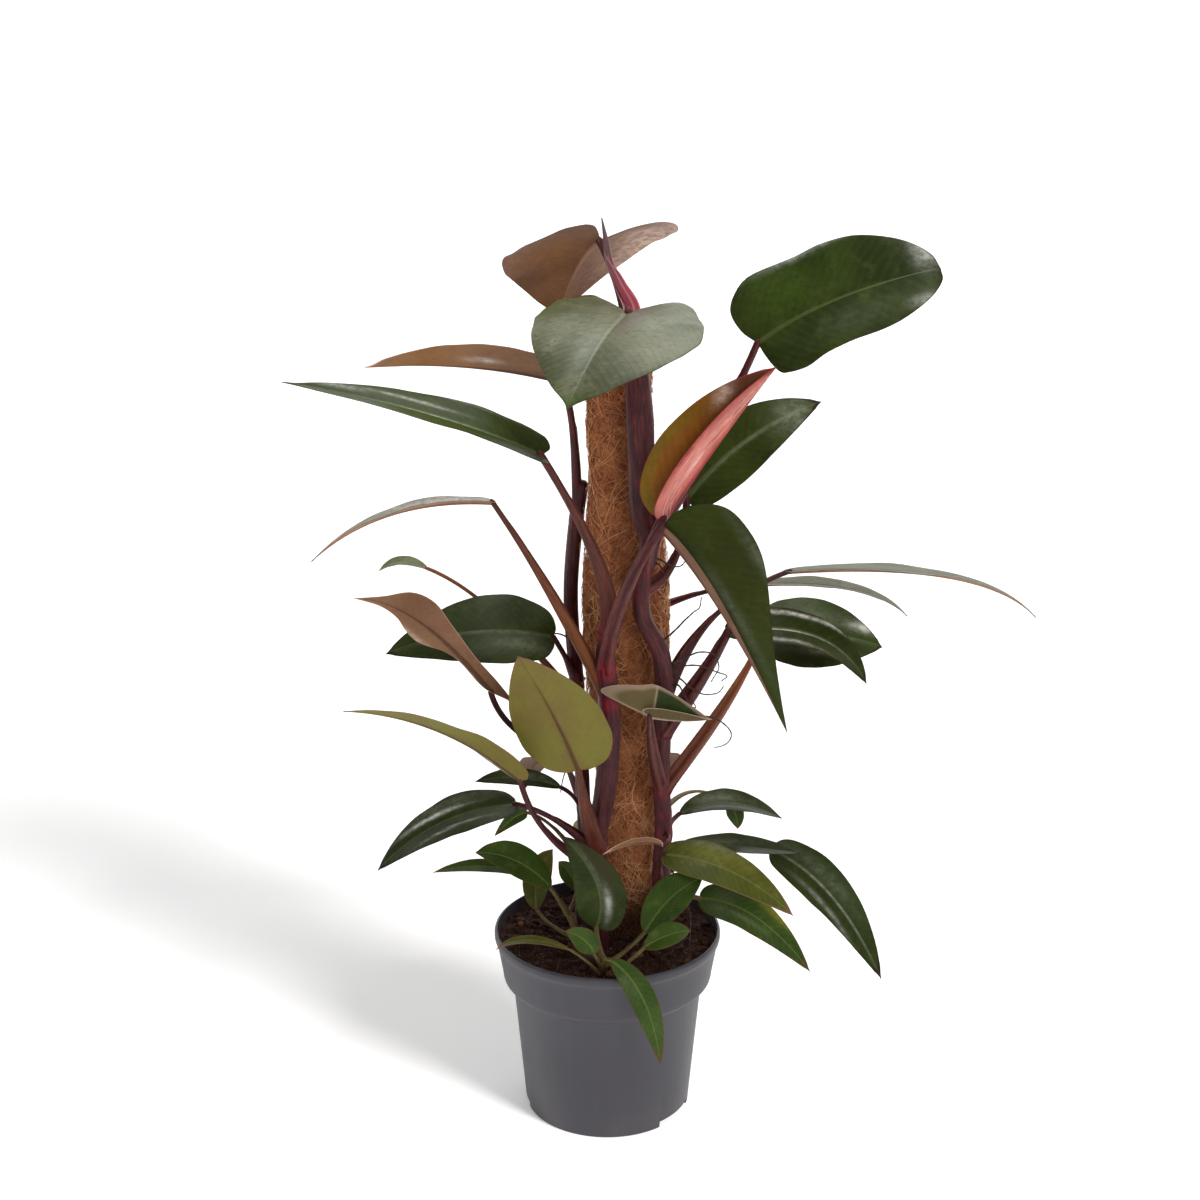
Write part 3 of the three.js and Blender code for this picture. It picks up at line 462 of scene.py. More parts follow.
def soilTop(x, y):
    heap = 3 * np.cos(np.hypot(x, y) / pot["rim"] * 1.5)
    crumbs = 1.1 * np.sin(x * 0.21 + 1.3) * np.cos(y * 0.17) + 0.9 * np.sin(x * 0.07 - y * 0.31)
    return soil["top"] + heap + crumbs - 2


def wallAt(z):  # inner radius of the pot's collar
    return np.interp(z, [116, 120, 124, 158], [82.5, 86.1, 86.9, 92.6])


class Rumble:  # a sum of seeded waves that stands for uneven ground
    def __init__(self, rng, low, high, count):
        self.freq = rng.normal(size=(count, 3))
        self.freq *= np.exp(rng.uniform(np.log(low), np.log(high), count))[:, None] / \
            np.linalg.norm(self.freq, axis=1)[:, None]
        self.phase = rng.uniform(0, 6.28, count)

    def at(self, points):
        sums = np.tensordot(points, self.freq.T, 1) + self.phase
        return np.sin(sums).sum(-1) / math.sqrt(len(self.phase) / 2)


def soilSkin():
    skin, wire = newSkin("peat")
    lumps = wire.noise(260, 5, 0.7)
    fine = wire.noise(1500, 3, 0.7)
    cells = wire.make("ShaderNodeTexVoronoi", {}, {"Vector": wire.here(), "Scale": 420.0})
    tint = wire.value("tint")
    colour = wire.mixed(soil["dark"], soil["brown"], lumps.step(0.35, 0.7) * 0.7 + tint * 0.5)
    colour = wire.mixed(colour, soil["tan"], (fine.step(0.62, 0.8) * 0.5 + tint.step(0.75, 1.0) * 0.6))
    rough = wire.bump(lumps + cells * 0.6 + fine * 0.4, 0.0016, 0.9)
    wire.close(colour, 0.86, rough, Specular_IOR_Level=0.25)
    return skin


def pebble(rng, detail):  # a small uneven lump of radius 1
    shape = bmesh.new()
    bmesh.ops.create_icosphere(shape, subdivisions=detail, radius=1)
    points = np.array([v.co for v in shape.verts])
    faces = [[v.index for v in f.verts] for f in shape.faces]
    shape.free()
    bumps = Rumble(rng, 1.5, 4, 5).at(points)
    return points * (1 + 0.22 * bumps)[:, None] * rng.uniform(0.55, 1.25, 3), faces


def randomTurn(rng):
    q = unit(rng.normal(size=4))
    w, x, y, z = q
    return np.array([
        [1 - 2 * (y * y + z * z), 2 * (x * y - z * w), 2 * (x * z + y * w)],
        [2 * (x * y + z * w), 1 - 2 * (x * x + z * z), 2 * (y * z - x * w)],
        [2 * (x * z - y * w), 2 * (y * z + x * w), 1 - 2 * (x * x + y * y)],
    ])


def makeSoil():
    rng = np.random.default_rng(soil["seed"])
    rings, sides = 110, 230
    coarse, middle, fine = Rumble(rng, 0.08, 0.25, 9), Rumble(rng, 0.3, 0.8, 14), Rumble(rng, 0.9, 2.2, 20)

    def ground(x, y):
        flat = np.stack([x, y, np.zeros_like(x)], -1)
        rough = 0.5 * coarse.at(flat) + 0.55 * middle.at(flat) + 0.3 * np.abs(fine.at(flat))
        return soilTop(x, y) + soil["lift"] + np.maximum(rough, -1.1)

    r = np.linspace(0.02, 1, rings)[:, None]
    a = ringTurns(sides)[None]
    reach = wallAt(soil["top"]) - 0.25
    x, y = r * reach * np.cos(a), r * reach * np.sin(a)
    z = ground(x, y)
    top = np.stack([x, y, z], -1)
    skirt = np.stack([x[-1], y[-1], z[-1] - 5], -1)[None] * [0.985, 0.985, 1]
    grid = np.concatenate([top, skirt])[::-1]
    heap = Heap()
    heap.add(grid, tubeFaces(rings + 1, sides), tint=np.zeros(grid.shape[0] * sides))
    for k in range(soil["crumbs"]):
        big = rng.random() < 0.12
        size = rng.uniform(2.0, 4.2) if big else rng.uniform(0.6, 1.9)
        points, faces = pebble(rng, 2 if big else 1)
        far = math.sqrt(rng.random()) * (reach - size - 0.6)
        turn = rng.uniform(0, 6.283)
        cx, cy = far * math.cos(turn), far * math.sin(turn)
        cz = float(ground(np.array(cx), np.array(cy))) + size * rng.uniform(-0.2, 0.45)
        tint = np.full(len(points), rng.random() ** 2)
        heap.add(points * size @ randomTurn(rng).T + [cx, cy, cz], faces, tint=tint)
    places = np.linspace(0, 1, 7)
    angles = np.arange(3) * 2 * math.pi / 3
    for k in range(soil["threads"]):
        far = math.sqrt(rng.random()) * (reach - 9)
        turn, way = rng.uniform(0, 6.283, 2)
        long = rng.uniform(4, 17)
        bend = rng.uniform(-1, 1)
        s = (places - 0.5) * long
        px = far * math.cos(turn) + s * math.cos(way) - bend * s * s / long * math.sin(way)
        py = far * math.sin(turn) + s * math.sin(way) + bend * s * s / long * math.cos(way)
        pz = ground(px, py) + rng.uniform(-0.2, 1.6) + rng.uniform(-0.6, 1.2) * np.sin(places * 3)
        if np.hypot(px, py).max() < reach - 0.8:
            thick = rng.uniform(0.12, 0.34)
            tube = tubePoints(np.stack([px, py, pz], -1), np.full((7, 3), thick), angles, (0, 0, 1))
            heap.add(tube, tubeFaces(7, 3), tint=np.full(21, rng.uniform(0.5, 1)))
    heap.piece("soil_surface", [soilSkin()], slot="soil")
    under, wire = newSkin("peat_under")
    wire.close(wire.mixed(soil["dark"], soil["brown"], wire.noise(500, 4, 0.7)), 0.9,
               wire.bump(wire.noise(900, 3), 0.001, 0.8))
    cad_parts["soil"].data.materials.clear()
    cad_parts["soil"].data.materials.append(under)


makeSoil()
print("soil made")


# coir pole
coir = dict(
    seed=5, foot=122, top=655, sides=180, rows=420, fibres=4600, strays=260,
    rings=[  # centre x and y, height, radius
        (17, 12, 122, 22), (17, 12, 200, 22), (17, 12, 260, 23), (16, 11, 330, 27), (15, 11, 385, 32),
        (15, 10, 430, 34.5), (15, 10, 470, 34), (13, 10, 515, 29.5), (11, 9, 560, 26), (9, 8, 610, 25),
        (8, 8, 655, 24),
    ],
    gap=rgb(92, 50, 30), dark=rgb(164, 100, 62), middle=rgb(216, 144, 94), light=rgb(252, 214, 160),
    # the last colour darkens the pole towards its foot: painted shade under the leaves
    footShade=rgb(44, 25, 17),
)


def poleAt(height):
    rings = np.array(coir["rings"], float)
    return [np.interp(height, rings[:, 2], rings[:, k]) for k in (0, 1, 3)]


def poleRadius(turn, height):
    return poleAt(height)[2] + 0.8 * np.sin(3 * turn + height * 0.05) + 0.6 * np.sin(5 * turn - height * 0.09)


def polePoint(turn, height, out):
    x, y, _ = poleAt(height)
    r = poleRadius(turn, height) + out
    return np.stack([x + r * np.cos(turn), y + r * np.sin(turn), height + 0 * r], -1)


def coirSkin():
    skin, wire = newSkin("coir_fibre")
    tint = wire.value("tint")
    cloud = wire.noise(18, 3, 0.5)
    fine = wire.noise(700, 3, 0.6)
    shade = tint * 0.75 + cloud * 0.3 + fine * 0.18 - 0.12
    colour = wire.make("ShaderNodeValToRGB", {"stops": [
        (0.0, coir["gap"]), (0.3, coir["dark"]), (0.58, coir["middle"]), (1.0, coir["light"])]}, {0: shade})
    # darker towards the foot: painted shade under the leaves
    colour = wire.mixed(colour, coir["footShade"], wire.here().axis("Z").step(0.215, 0.165) * 0.75)
    wire.close(colour, 0.8 - fine * 0.15, wire.bump(fine, 0.0003, 0.5), Specular_IOR_Level=0.3)
    return skin


def matSkin():  # the matted layer under the loose fibres
    skin, wire = newSkin("coir_mat")
    flat = wire.place("grain")
    one = wire.noise(9, 4, 0.7, flat.stretched(0.35, 1.6, 1))
    two = wire.noise(9, 4, 0.7, flat.stretched(1.5, 0.4, 1))
    clump = wire.noise(95, 3, 0.6, wire.here().stretched(1, 1, 0.7))
    shade = one.step(0.4, 0.65) * 0.35 + two.step(0.45, 0.7) * 0.3 + clump.step(0.4, 0.62) * 0.35
    colour = wire.make("ShaderNodeValToRGB", {"stops": [
        (0.0, coir["gap"]), (0.3, coir["dark"]), (1.0, coir["middle"])]}, {0: shade})
    # darker towards the foot: painted shade under the leaves
    colour = wire.mixed(colour, coir["footShade"], wire.here().axis("Z").step(0.215, 0.165) * 0.85)
    wire.close(colour, 0.86, wire.bump(shade, 0.0012, 0.9), Specular_IOR_Level=0.25)
    return skin


def makePole():
    rng = np.random.default_rng(coir["seed"])
    rows, sides = coir["rows"], coir["sides"]
    height = np.linspace(coir["foot"], coir["top"], rows)[:, None]
    turn = ringTurns(sides)[None]
    shape = polePoint(turn, height, 0)
    lumps, small = Rumble(rng, 0.12, 0.3, 12), Rumble(rng, 0.6, 1.6, 24)
    out = 0.7 * lumps.at(shape) + 0.45 * small.at(shape) - 0.9
    shoulder = 3.5 * smooth((height - coir["top"] + 5) / 5)
    grid = polePoint(turn, height, out - shoulder)
    flat = np.stack([turn * 26 / 10 + 0 * height, height / 10 + 0 * turn, 0 * turn + 0 * height], -1)
    heap = Heap()
    heap.add(grid, tubeFaces(rows, sides), grain=flat)
    heap.piece("coir_mat", [matSkin()], ["pole_coir"], "coir")

    heap = Heap()
    tufts = Rumble(rng, 0.2, 0.55, 14)
    steps, corners = 8, 3
    angles = np.arange(corners) * 2 * math.pi / corners
    s = np.linspace(-0.5, 0.5, steps)
    faces = tubeFaces(steps, corners)
    for k in range(coir["fibres"] + coir["strays"]):
        stray = k >= coir["fibres"]
        long = rng.uniform(10, 30) if stray else rng.uniform(12, 46)
        z0 = rng.uniform(coir["foot"] + 20, coir["top"] - 3)
        a0 = rng.uniform(0, 6.283)
        way = rng.normal(0.9, 0.45) * rng.choice([-1, 1])
        bend = rng.normal(0, 0.8)
        dip = way + bend * s
        across = np.cumsum(np.cos(dip)) * long / steps
        climb = np.cumsum(np.sin(dip)) * long / steps
        z = np.clip(z0 + climb - climb.mean(), coir["foot"] + 2, coir["top"] - 0.5)
        r = poleAt(z0)[2]
        a = a0 + (across - across.mean()) / r
        lift = rng.uniform(-0.7, 0.9) + 0.7 * np.sin(s * rng.uniform(3, 9) + rng.uniform(0, 6))
        if stray:
            end = smooth((s + 0.5) if rng.random() < 0.5 else (0.5 - s))
            lift = lift + end * rng.uniform(1.5, 6)
        route = polePoint(a, z, lift)
        thick = rng.uniform(0.1, 0.18) if stray else rng.uniform(0.12, 0.3)
        tube = tubePoints(route, np.full((steps, corners), thick), angles, (0.1, 0.2, 1))
        clump = float(tufts.at(polePoint(np.array(a0), np.array(z0), 0)))
        tone = rng.normal(0.5, 0.14) + 0.2 * clump + (0.2 if stray else 0)
        tint = np.full(steps * corners, np.clip(tone + 0.12 * lift.mean(), 0, 1))
        heap.add(tube, faces, tint=tint)
    heap.piece("coir_fibres", [coirSkin()], ["pole_coir"], "coir")

    wood, wire = newSkin("stake_wood")
    rings = wire.noise(30, 4, 0.6, wire.here().stretched(8, 8, 0.4))
    wire.close(wire.mixed(rgb(150, 118, 80), rgb(186, 152, 108), rings), 0.7, wire.bump(rings, 0.0004))
    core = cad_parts["pole_core"]
    core.data.materials.clear()
    core.data.materials.append(wood)


makePole()
print("pole made")


# stems
stems = dict(
    sides=28, seed=21, blushFrom=330, root=rgb(26, 19, 18), rootTip=rgb(66, 46, 34),
    # each set's pale colour is painted highlight, laid in streaks along the stem
    burgundy=dict(dark=rgb(50, 18, 22), middle=rgb(100, 40, 42), pale=rgb(140, 92, 84),
                  blush=rgb(136, 20, 42), paper=rgb(134, 82, 66), ochre=rgb(150, 90, 44)),
    young=dict(dark=rgb(84, 68, 40), middle=rgb(112, 108, 56), pale=rgb(150, 146, 96),
               blush=rgb(128, 60, 56), paper=rgb(150, 124, 84), ochre=rgb(110, 52, 44)),
)
vines = dict(
    vine_right=dict(
        points=[(44, -16, 70), (44, -16, 209), (46, -17, 255), (44, -20, 296), (44, -24, 336), (45, -30, 381),
                (41, -37, 417), (27, -41, 447), (27, -43, 480), (32, -38, 508), (26, -34, 534),
                (24, -32, 600), (19, -28, 672)],
        radii=[7, 7, 7, 7, 7, 7.5, 7, 6.5, 7, 8, 9.5, 10.5, 8],
        roots=[
            [(44, -34, 404), (58, -34, 408), (72, -34, 415), (83, -34, 413), (88, -34, 402), (82, -34, 390)],
            [(45, -32, 402), (58, -34, 404), (71, -35, 404), (84, -34, 399), (95, -32, 394), (91, -30, 389)],
            [(46, -30, 396), (56, -34, 394), (66, -36, 386), (76, -36, 380), (86, -34, 381), (92, -32, 386)],
            [(46, -28, 384), (55, -34, 388), (61, -36, 381), (65, -36, 372), (70, -35, 370), (65, -34, 378)],
            [(46, -26, 366), (62, -34, 364), (78, -36, 362), (90, -34, 357), (98, -32, 347), (96, -32, 338),
             (85, -32, 334)],
            [(34, -38, 494), (41, -38, 492), (49, -36, 487), (57, -34, 487), (64, -32, 494)],
            [(34, -38, 490), (41, -36, 486), (45, -34, 474), (43, -34, 463)],
            [(42, -36, 424), (54, -38, 436), (60, -38, 443), (67, -36, 449), (72, -34, 452), (74, -33, 460)],
            [(46, -18, 236), (58, -30, 214), (68, -42, 190), (64, -46, 136)],
        ]),
    vine_front=dict(
        points=[(-6, -24, 70), (-6, -24, 209), (-9, -27, 250), (-2, -31, 295), (2, -34, 349), (0, -37, 383),
                (-2, -40, 409), (0, -41, 436)],
        radii=[7, 7, 8, 9, 8.5, 8, 8, 6],
        roots=[[(-8, -26, 232), (-20, -38, 216), (-26, -42, 190), (-22, -46, 136)]]),
    vine_left=dict(
        points=[(-19, 34, 70), (-19, 34, 206), (-21, 34, 279), (-25, 33, 361), (-30, 31, 438), (-26, 28, 500),
                (-20, 24, 540)],
        radii=[6, 6, 6, 6, 6, 6, 5],
        roots=[
            [(-28, 32, 404), (-42, 28, 410), (-56, 24, 404)],
            [(-22, 34, 300), (-34, 44, 286), (-40, 46, 262)],
        ]),
    vine_back=dict(
        points=[(26, 50, 70), (26, 50, 255), (22, 56, 396), (20, 54, 440), (16, 44, 553), (12, 42, 590)],
        radii=[7, 7, 7.5, 7.5, 6, 5],
        roots=[
            [(23, 55, 370), (40, 62, 352), (46, 66, 330)],
            [(24, 53, 300), (12, 62, 282), (4, 60, 256)],
        ]),
    shoot_left=dict(points=[(-27, -30, 92), (-27, -30, 172), (-33, -24, 184)], radii=[3.2, 3.2, 2.4]),
    shoot_front=dict(points=[(-4, -69, 108), (-4, -71, 150), (-4, -72, 170)], radii=[3.6, 3.6, 3]),
)


# A leaf's route: where its stalk leaves the stem, what the stalk bends towards, the midrib's foot, what
# the midrib bends towards and its tip. face: where the upper side looks; radii: the stalk at its foot
# and head. Pairs in more are for the two halves, the one on the side of ahead x up last: fold raises a
# half, share is its part of half the width, sweep moves its margin on, lobe lengthens its lobe, other
# is the second half's outline. cup and wave: rise and waves of the margin; reach: how much of the stalk
# is sheath; warm: ochre at its foot and head.
# marks and under: paint on the two sides, with its colour, place across and its spread, place along
# and its spread, and strength.
# Much of the paint in marks and under is painted light: highlight streaks and glints, grey-green sheen, white
# reflection and some shade; the rest is the blade's own colour.
def leafOf(name, vine, look, form, width, route, face, radii, **more):
    root, elbow, base, bend, tip = route
    return dict(name="leaf_" + name, vine=vine, look=look, form=form, width=width, root=root, elbow=elbow,
                base=base, bend=bend, tip=tip, face=face, sheath=radii[0], stalk=radii[1], **more)


leaves = [
    leafOf("top_left", "vine_back", "copper", "wing", 124, [(14, 43, 560), (27, 42, 664), (-7, 42, 728),
           (-24, 72, 714), (-42, 100, 659)], (0, 0.7, 0.7), (5, 3), other="heart", fold=(-4, 40),
           share=(1.12, 1.4), sweep=(0, -0.16), lobe=(2.7, 0.9), cup=-24,
           under=[("blush", -0.95, 0.25, 0.1, 0.5, 0.5), ("ochre", -0.4, 0.3, 0.3, 0.3, 0.45),
           # the pale mark over the right lobe is painted sheen
           ("pale", 0.85, 0.42, 0.3, 0.9, 0.9), ("umber", 0.5, 0.3, -0.1, 0.12, 0.6)]),
    leafOf("top_front", "vine_right", "sheen", "wing", 132, [(18, -28, 643), (20, -52, 662),
           (15, -44, 685), (-6, -96, 678), (-30, -131, 630)], (-0.2, -0.35, 0.9), (5, 3.4), other="round",
           fold=(1, 12), share=(1.04, 1), lobe=(1.8, 3.6), cup=-8,
           # the mauve mark beside the midrib's foot is painted shade in the fold, tinted mauve
           marks=[("mauve", -0.14, 0.12, 0.14, 0.22, 0.85), ("leaf", 0, 1, 1.02, 0.1, 0.9),
           ("moss", -0.92, 0.2, 0.5, 0.35, 0.6), ("moss", 0.98, 0.2, 0.1, 0.3, 0.6),
           ("haze", -0.5, 0.3, 0.2, 0.2, 0.5), ("haze", 0.12, 0.1, 0.6, 0.3, 0.5),
           ("haze", 0.55, 0.2, 0.25, 0.2, 0.35)]),
    leafOf("top_right", "vine_right", "green", "oval", 92, [(32, -38, 508), (88, -10, 590),
           (114, -10, 656), (162, -30, 698), (248, -30, 716)], (0.1, -0.8, 0.6), (7, 2.8), fold=(5, 5),
           share=(1.02, 0.84), sweep=(0, 0.07), lobe=(1, 0.3), wave=3, reach=0.9,
           marks=[("haze", 0.5, 0.3, 0.6, 0.25, 0.12), ("leaf", -0.5, 0.5, 0.25, 0.25, 0.35),
           ("gleam", -0.4, 0.3, 0.95, 0.05, 0.5), ("gleam", 0.6, 0.12, 0.9, 0.06, 0.35),
           ("gleam", -0.97, 0.05, 0.6, 0.4, 0.35)]),
    leafOf("bronze_left", "vine_left", "bronze", "heart", 62, [(-25, 27, 508), (-24, 16, 598),
           (-37, 10, 624), (-107, 10, 641), (-188, 0, 636)], (0, 0.65, 0.75), (4, 2.8), other="lance",
           fold=(5, 30), share=(1, 0.7), sweep=(0.1, 0.1), lobe=(0.4, 1),
           under=[("gleam", -0.3, 0.1, 0.42, 0.08, 0.6), ("gleam", 0.2, 0.12, 0.25, 0.09, 0.4),
           # the pale streak beside the midrib is painted highlight
           ("ochre", -0.4, 0.5, 0.72, 0.22, 0.6), ("pale", 0.08, 0.05, 0.66, 0.22, 0.7),
           ("mauve", 0.2, 0.8, 0.1, 0.2, 0.35)]),
    leafOf("long_left", "vine_front", "green", "heart", 54, [(0, -41, 434), (10, -62, 482),
           (-51, -58, 580), (-125, -66, 618), (-242, -66, 637)], (-0.05, -0.22, 0.97), (7, 3),
           fold=(14, 14), lobe=(0.3, 0.3), reach=0.9, warm=(0.15, 0.1),
           marks=[("gleam", -0.07, 0.04, 0.42, 0.24, 0.9), ("gleam", 0.4, 0.05, 0.55, 0.14, 0.55),
           ("gleam", 0.3, 0.1, 0.85, 0.1, 0.35), ("gleam", 0.92, 0.04, 0.5, 0.3, 0.25),
           ("leaf", -0.5, 0.35, 0.5, 0.35, 0.4)]),
    leafOf("unrolled", "vine_right", "unrolled", "lance", 66, [(28, -43, 488), (30, -62, 508),
           (41, -62, 531), (80, -64, 591), (125, -54, 646)], (-0.15, -0.95, 0.25), (6, 4), fold=(6, 120),
           # the pale mark on the golden side near the tip is painted highlight
           share=(1.12, 0.74), marks=[("pale", -0.5, 0.12, 0.72, 0.06, 0.8)],
           under=[("wine", 0.95, 0.14, 0.5, 0.5, 0.8)]),
    leafOf("behind_unrolled", "vine_right", "green", "lance", 54, [(27, -42, 468), (60, -24, 478),
           (62, -4, 532), (103, 8, 586), (167, 10, 607)], (-0.3, -0.85, 0.5), (5, 3), fold=(5, 5),
           marks=[("haze", 0.1, 0.6, 0.82, 0.12, 0.7), ("haze", 0.05, 0.06, 0.5, 0.4, 0.4)]),
    leafOf("hanging", "vine_front", "green", "drop", 100, [(-2, -42, 404), (3, -84, 474), (40, -78, 529),
           (84, -94, 482), (137, -98, 372)], (0, -0.95, 0.3), (6, 3.6), fold=(8, 118), share=(1, 0.17),
           lobe=(1, 1), reach=1, marks=[("drab", -0.4, 1.2, 0.4, 0.6, 0.8),
           ("haze", -0.15, 0.06, 0.5, 0.25, 0.25), ("haze", -0.9, 0.08, 0.5, 0.3, 0.3)]),
    leafOf("drooping_left", "vine_front", "silver", "lance", 44, [(0, -37, 376), (-33, -38, 452),
           (-90, -14, 532), (-177, -20, 538), (-232, -30, 488)], (0, 0.14, 1), (5.5, 2.2), fold=(10, 10),
           # the whitish mark on the upper side is painted reflection
           reach=1, warm=(0.9, 0.1), marks=[("white", 0.35, 0.6, 0.15, 0.35, 0.85),
           ("haze", -0.8, 0.3, 0.4, 0.3, 0.6), ("salmon", 0, 1.2, 0.88, 0.16, 0.8)]),
    leafOf("small_left", "vine_left", "olive", "young", 14, [(-24, 33, 348), (-96, 44, 440),
           (-148, 48, 460), (-172, 52, 472), (-189, 54, 456)], (0, -0.3, 0.9), (3, 1.6), warm=(0.3, 0.6),
           marks=[("haze", 0, 1, 0.3, 0.5, 0.6)]),
    leafOf("dark_left", "vine_left", "green", "lance", 74, [(-24, 33, 366), (-34, 22, 392), (-44, 14, 412),
           (-103, 6, 432), (-180, 4, 401)], (0, -0.5, 0.85), (5, 2.2), fold=(4, 4),
           marks=[("haze", -0.4, 0.25, 0.22, 0.2, 0.45), ("haze", -0.05, 0.05, 0.4, 0.4, 0.35)]),
    leafOf("folded_left", "vine_left", "bronze", "ladle", 40, [(-22, 34, 298), (-84, -18, 334),
           (-93, -32, 381), (-150, -40, 462), (-198, -42, 462)], (-0.3, 0.8, 0.5), (4, 2.4), other="flap",
           fold=(38, 0), share=(1, 0.78), under=[("pale", 0.9, 0.16, 0.5, 0.3, 0.7),
           ("blush", -0.5, 0.5, 0.3, 0.2, 0.35)]),
    leafOf("olive_front", "vine_front", "olive", "lance", 78, [(-8, -26, 246), (-19, -50, 284),
           (-23, -57, 325), (-41, -64, 377), (-69, -80, 428)], (0.1, 0.85, 0.5), (7, 2.6), fold=(4, 4),
           reach=1, warm=(0.25, 0.2)),
    leafOf("curled_front", "vine_right", "curled", "heart", 54, [(44, -20, 292), (33, -50, 340),
           (33, -56, 370), (58, -60, 366), (81, -66, 371)], (0, -0.3, 0.95), (5.5, 2.4), fold=(60, 80),
           share=(0.95, 0.44), sweep=(-0.25, 0), lobe=(5.4, 1), reach=1),
    leafOf("far_right", "vine_right", "silver", "lance", 44, [(45, -28, 372), (66, -14, 446),
           (145, 6, 470), (302, 8, 479), (344, 0, 433)], (0, 0.1, 1), (6, 2.2), fold=(4, 10), reach=0.6,
           marks=[("slate", 0, 1.5, 0.3, 0.7, 0.8), ("salmon", 0.7, 0.45, 0.6, 0.18, 0.9),
           ("umber", 0.12, 0.07, 0.32, 0.3, 0.5), ("haze", -0.4, 0.5, 0.2, 0.3, 0.4),
           ("umber", 0.95, 0.12, 0.2, 0.2, 0.6)]),
    leafOf("thin_right", "vine_back", "silver", "lance", 38, [(21, 55, 412), (66, 48, 444), (127, 34, 451),
           (216, 34, 455), (246, 32, 424)], (0, 0, 1), (4, 2), fold=(4, 12),
           marks=[("slate", 0, 1.5, 0.5, 0.8, 0.7), ("drab", 0.8, 0.3, 0.4, 0.5, 0.8),
           ("umber", 0, 0.08, 0.5, 0.4, 0.4)]),
    leafOf("right", "vine_right", "green", "lance", 72, [(45, -19, 292), (104, 10, 360), (129, 44, 402),
           (182, 50, 410), (230, 54, 390)], (0, -0.6, 0.8), (6, 2), fold=(4, 4), reach=1, warm=(0.1, 0.9),
           marks=[("gleam", -0.35, 0.12, 0.82, 0.1, 0.6), ("haze", -0.4, 0.3, 0.4, 0.3, 0.3),
           ("haze", 0.05, 0.06, 0.45, 0.4, 0.5), ("gleam", 0.5, 0.1, 0.55, 0.2, 0.3)]),
    leafOf("striped_right", "vine_right", "green", "lance", 40, [(44, -25, 344), (77, -33, 394),
           (96, -14, 426), (180, -13, 440), (208, -16, 382)], (0, -0.4, 0.9), (7, 3.6), fold=(16, 8),
           reach=1, marks=[("gleam", -0.78, 0.08, 0.35, 0.35, 1.1), ("gleam", 0.06, 0.05, 0.3, 0.3, 1.1),
           ("gleam", 0.75, 0.1, 0.3, 0.2, 0.5)]),
    leafOf("olive_left", "vine_front", "olive", "lance", 58, [(-7, -25, 226), (-58, -50, 258),
           (-70, -48, 313), (-131, -62, 374), (-207, -62, 376)], (0, 0.42, 0.9), (4.5, 2.4), fold=(10, 10),
           under=[("gleam", 0.75, 0.2, 0.4, 0.35, 0.6), ("haze", 0.3, 0.3, 0.35, 0.3, 0.4),
           ("umber", 0, 0.05, 0.4, 0.4, 0.6)]),
    leafOf("low_left", "vine_front", "green", "lance", 48, [(-8, -26, 238), (-40, -30, 276),
           (-75, -30, 284), (-138, -50, 289), (-185, -60, 239)], (-0.15, -0.3, 0.95), (4.5, 2.2),
           fold=(6, 6), marks=[("gleam", 0.4, 0.08, 0.52, 0.2, 1.1), ("gleam", -0.5, 0.05, 0.45, 0.2, 0.5),
           ("haze", 0.7, 0.2, 0.4, 0.3, 0.4)]),
    leafOf("narrow_left", "vine_left", "green", "young", 18, [(-19, 34, 216), (-16, 18, 268),
           (-39, 10, 282), (-72, 10, 297), (-110, 10, 287)], (0, -0.5, 0.8), (3, 1.8),
           marks=[("haze", 0.3, 0.4, 0.4, 0.3, 0.5)]),
    leafOf("yellow_left", "vine_left", "fresh", "lance", 12, [(-19, 34, 196), (-44, 20, 250),
           (-67, 6, 261), (-77, 2, 262), (-94, -2, 243)], (0, -0.8, 0.5), (2.4, 1.4)),
    leafOf("shoot_left", "shoot_left", "fresh", "young", 32, [(-29, -28, 176), (-38, -26, 196),
           (-47, -24, 207), (-73, -26, 240), (-108, -32, 242)], (0, -0.5, 0.8), (2.2, 1.6)),
    leafOf("shoot_left_thin", "shoot_left", "fresh", "young", 15, [(-33, -24, 182), (-44, -12, 200),
           (-58, -8, 208), (-98, -6, 226), (-145, -10, 214)], (0, -0.4, 0.9), (2.2, 1.4)),
    leafOf("shoot_up", "shoot_left", "olive", "young", 24, [(-28, -30, 164), (-52, -6, 164), (-60, 8, 172),
           (-65, 12, 202), (-46, 26, 219)], (0, -0.9, 0.3), (2, 1.4)),
    leafOf("shoot_pale", "shoot_left", "fresh", "young", 16, [(-32, -25, 183), (-26, -10, 190),
           (-26, -4, 196), (-31, 0, 211), (-41, 3, 218)], (0, -0.9, 0.3), (2, 1.4)),
    leafOf("front_glossy", "shoot_front", "green", "lance", 42, [(-4, -72, 166), (-9, -68, 182),
           (-9, -62, 190), (5, -58, 223), (-36, -66, 272)], (0.1, -0.9, 0.4), (2.6, 1.9), fold=(6, 6),
           marks=[("gleam", 0.3, 0.12, 0.28, 0.14, 0.6), ("umber", 0.5, 0.4, 0.7, 0.3, 0.55),
           ("haze", 0.1, 0.1, 0.6, 0.3, 0.3)]),
    leafOf("brown_front", "vine_right", "bronze", "young", 13, [(45, -16, 251), (54, -42, 261),
           (44, -54, 259), (26, -64, 271), (-4, -79, 262)], (0, 0.8, 0.6), (2.6, 1.6)),
    leafOf("olive_right", "vine_right", "olive", "lance", 38, [(44, -16, 208), (40, -32, 232),
           (46, -36, 242), (102, -52, 246), (150, -62, 200)], (0.1, -0.5, 0.8), (3.4, 2), fold=(5, 5),
           marks=[("lime", -0.5, 0.5, 0.4, 0.35, 0.3), ("haze", -0.8, 0.15, 0.3, 0.2, 0.4)]),
    leafOf("dark_right", "vine_right", "green", "young", 30, [(45, -16, 230), (52, -6, 236), (58, -2, 234),
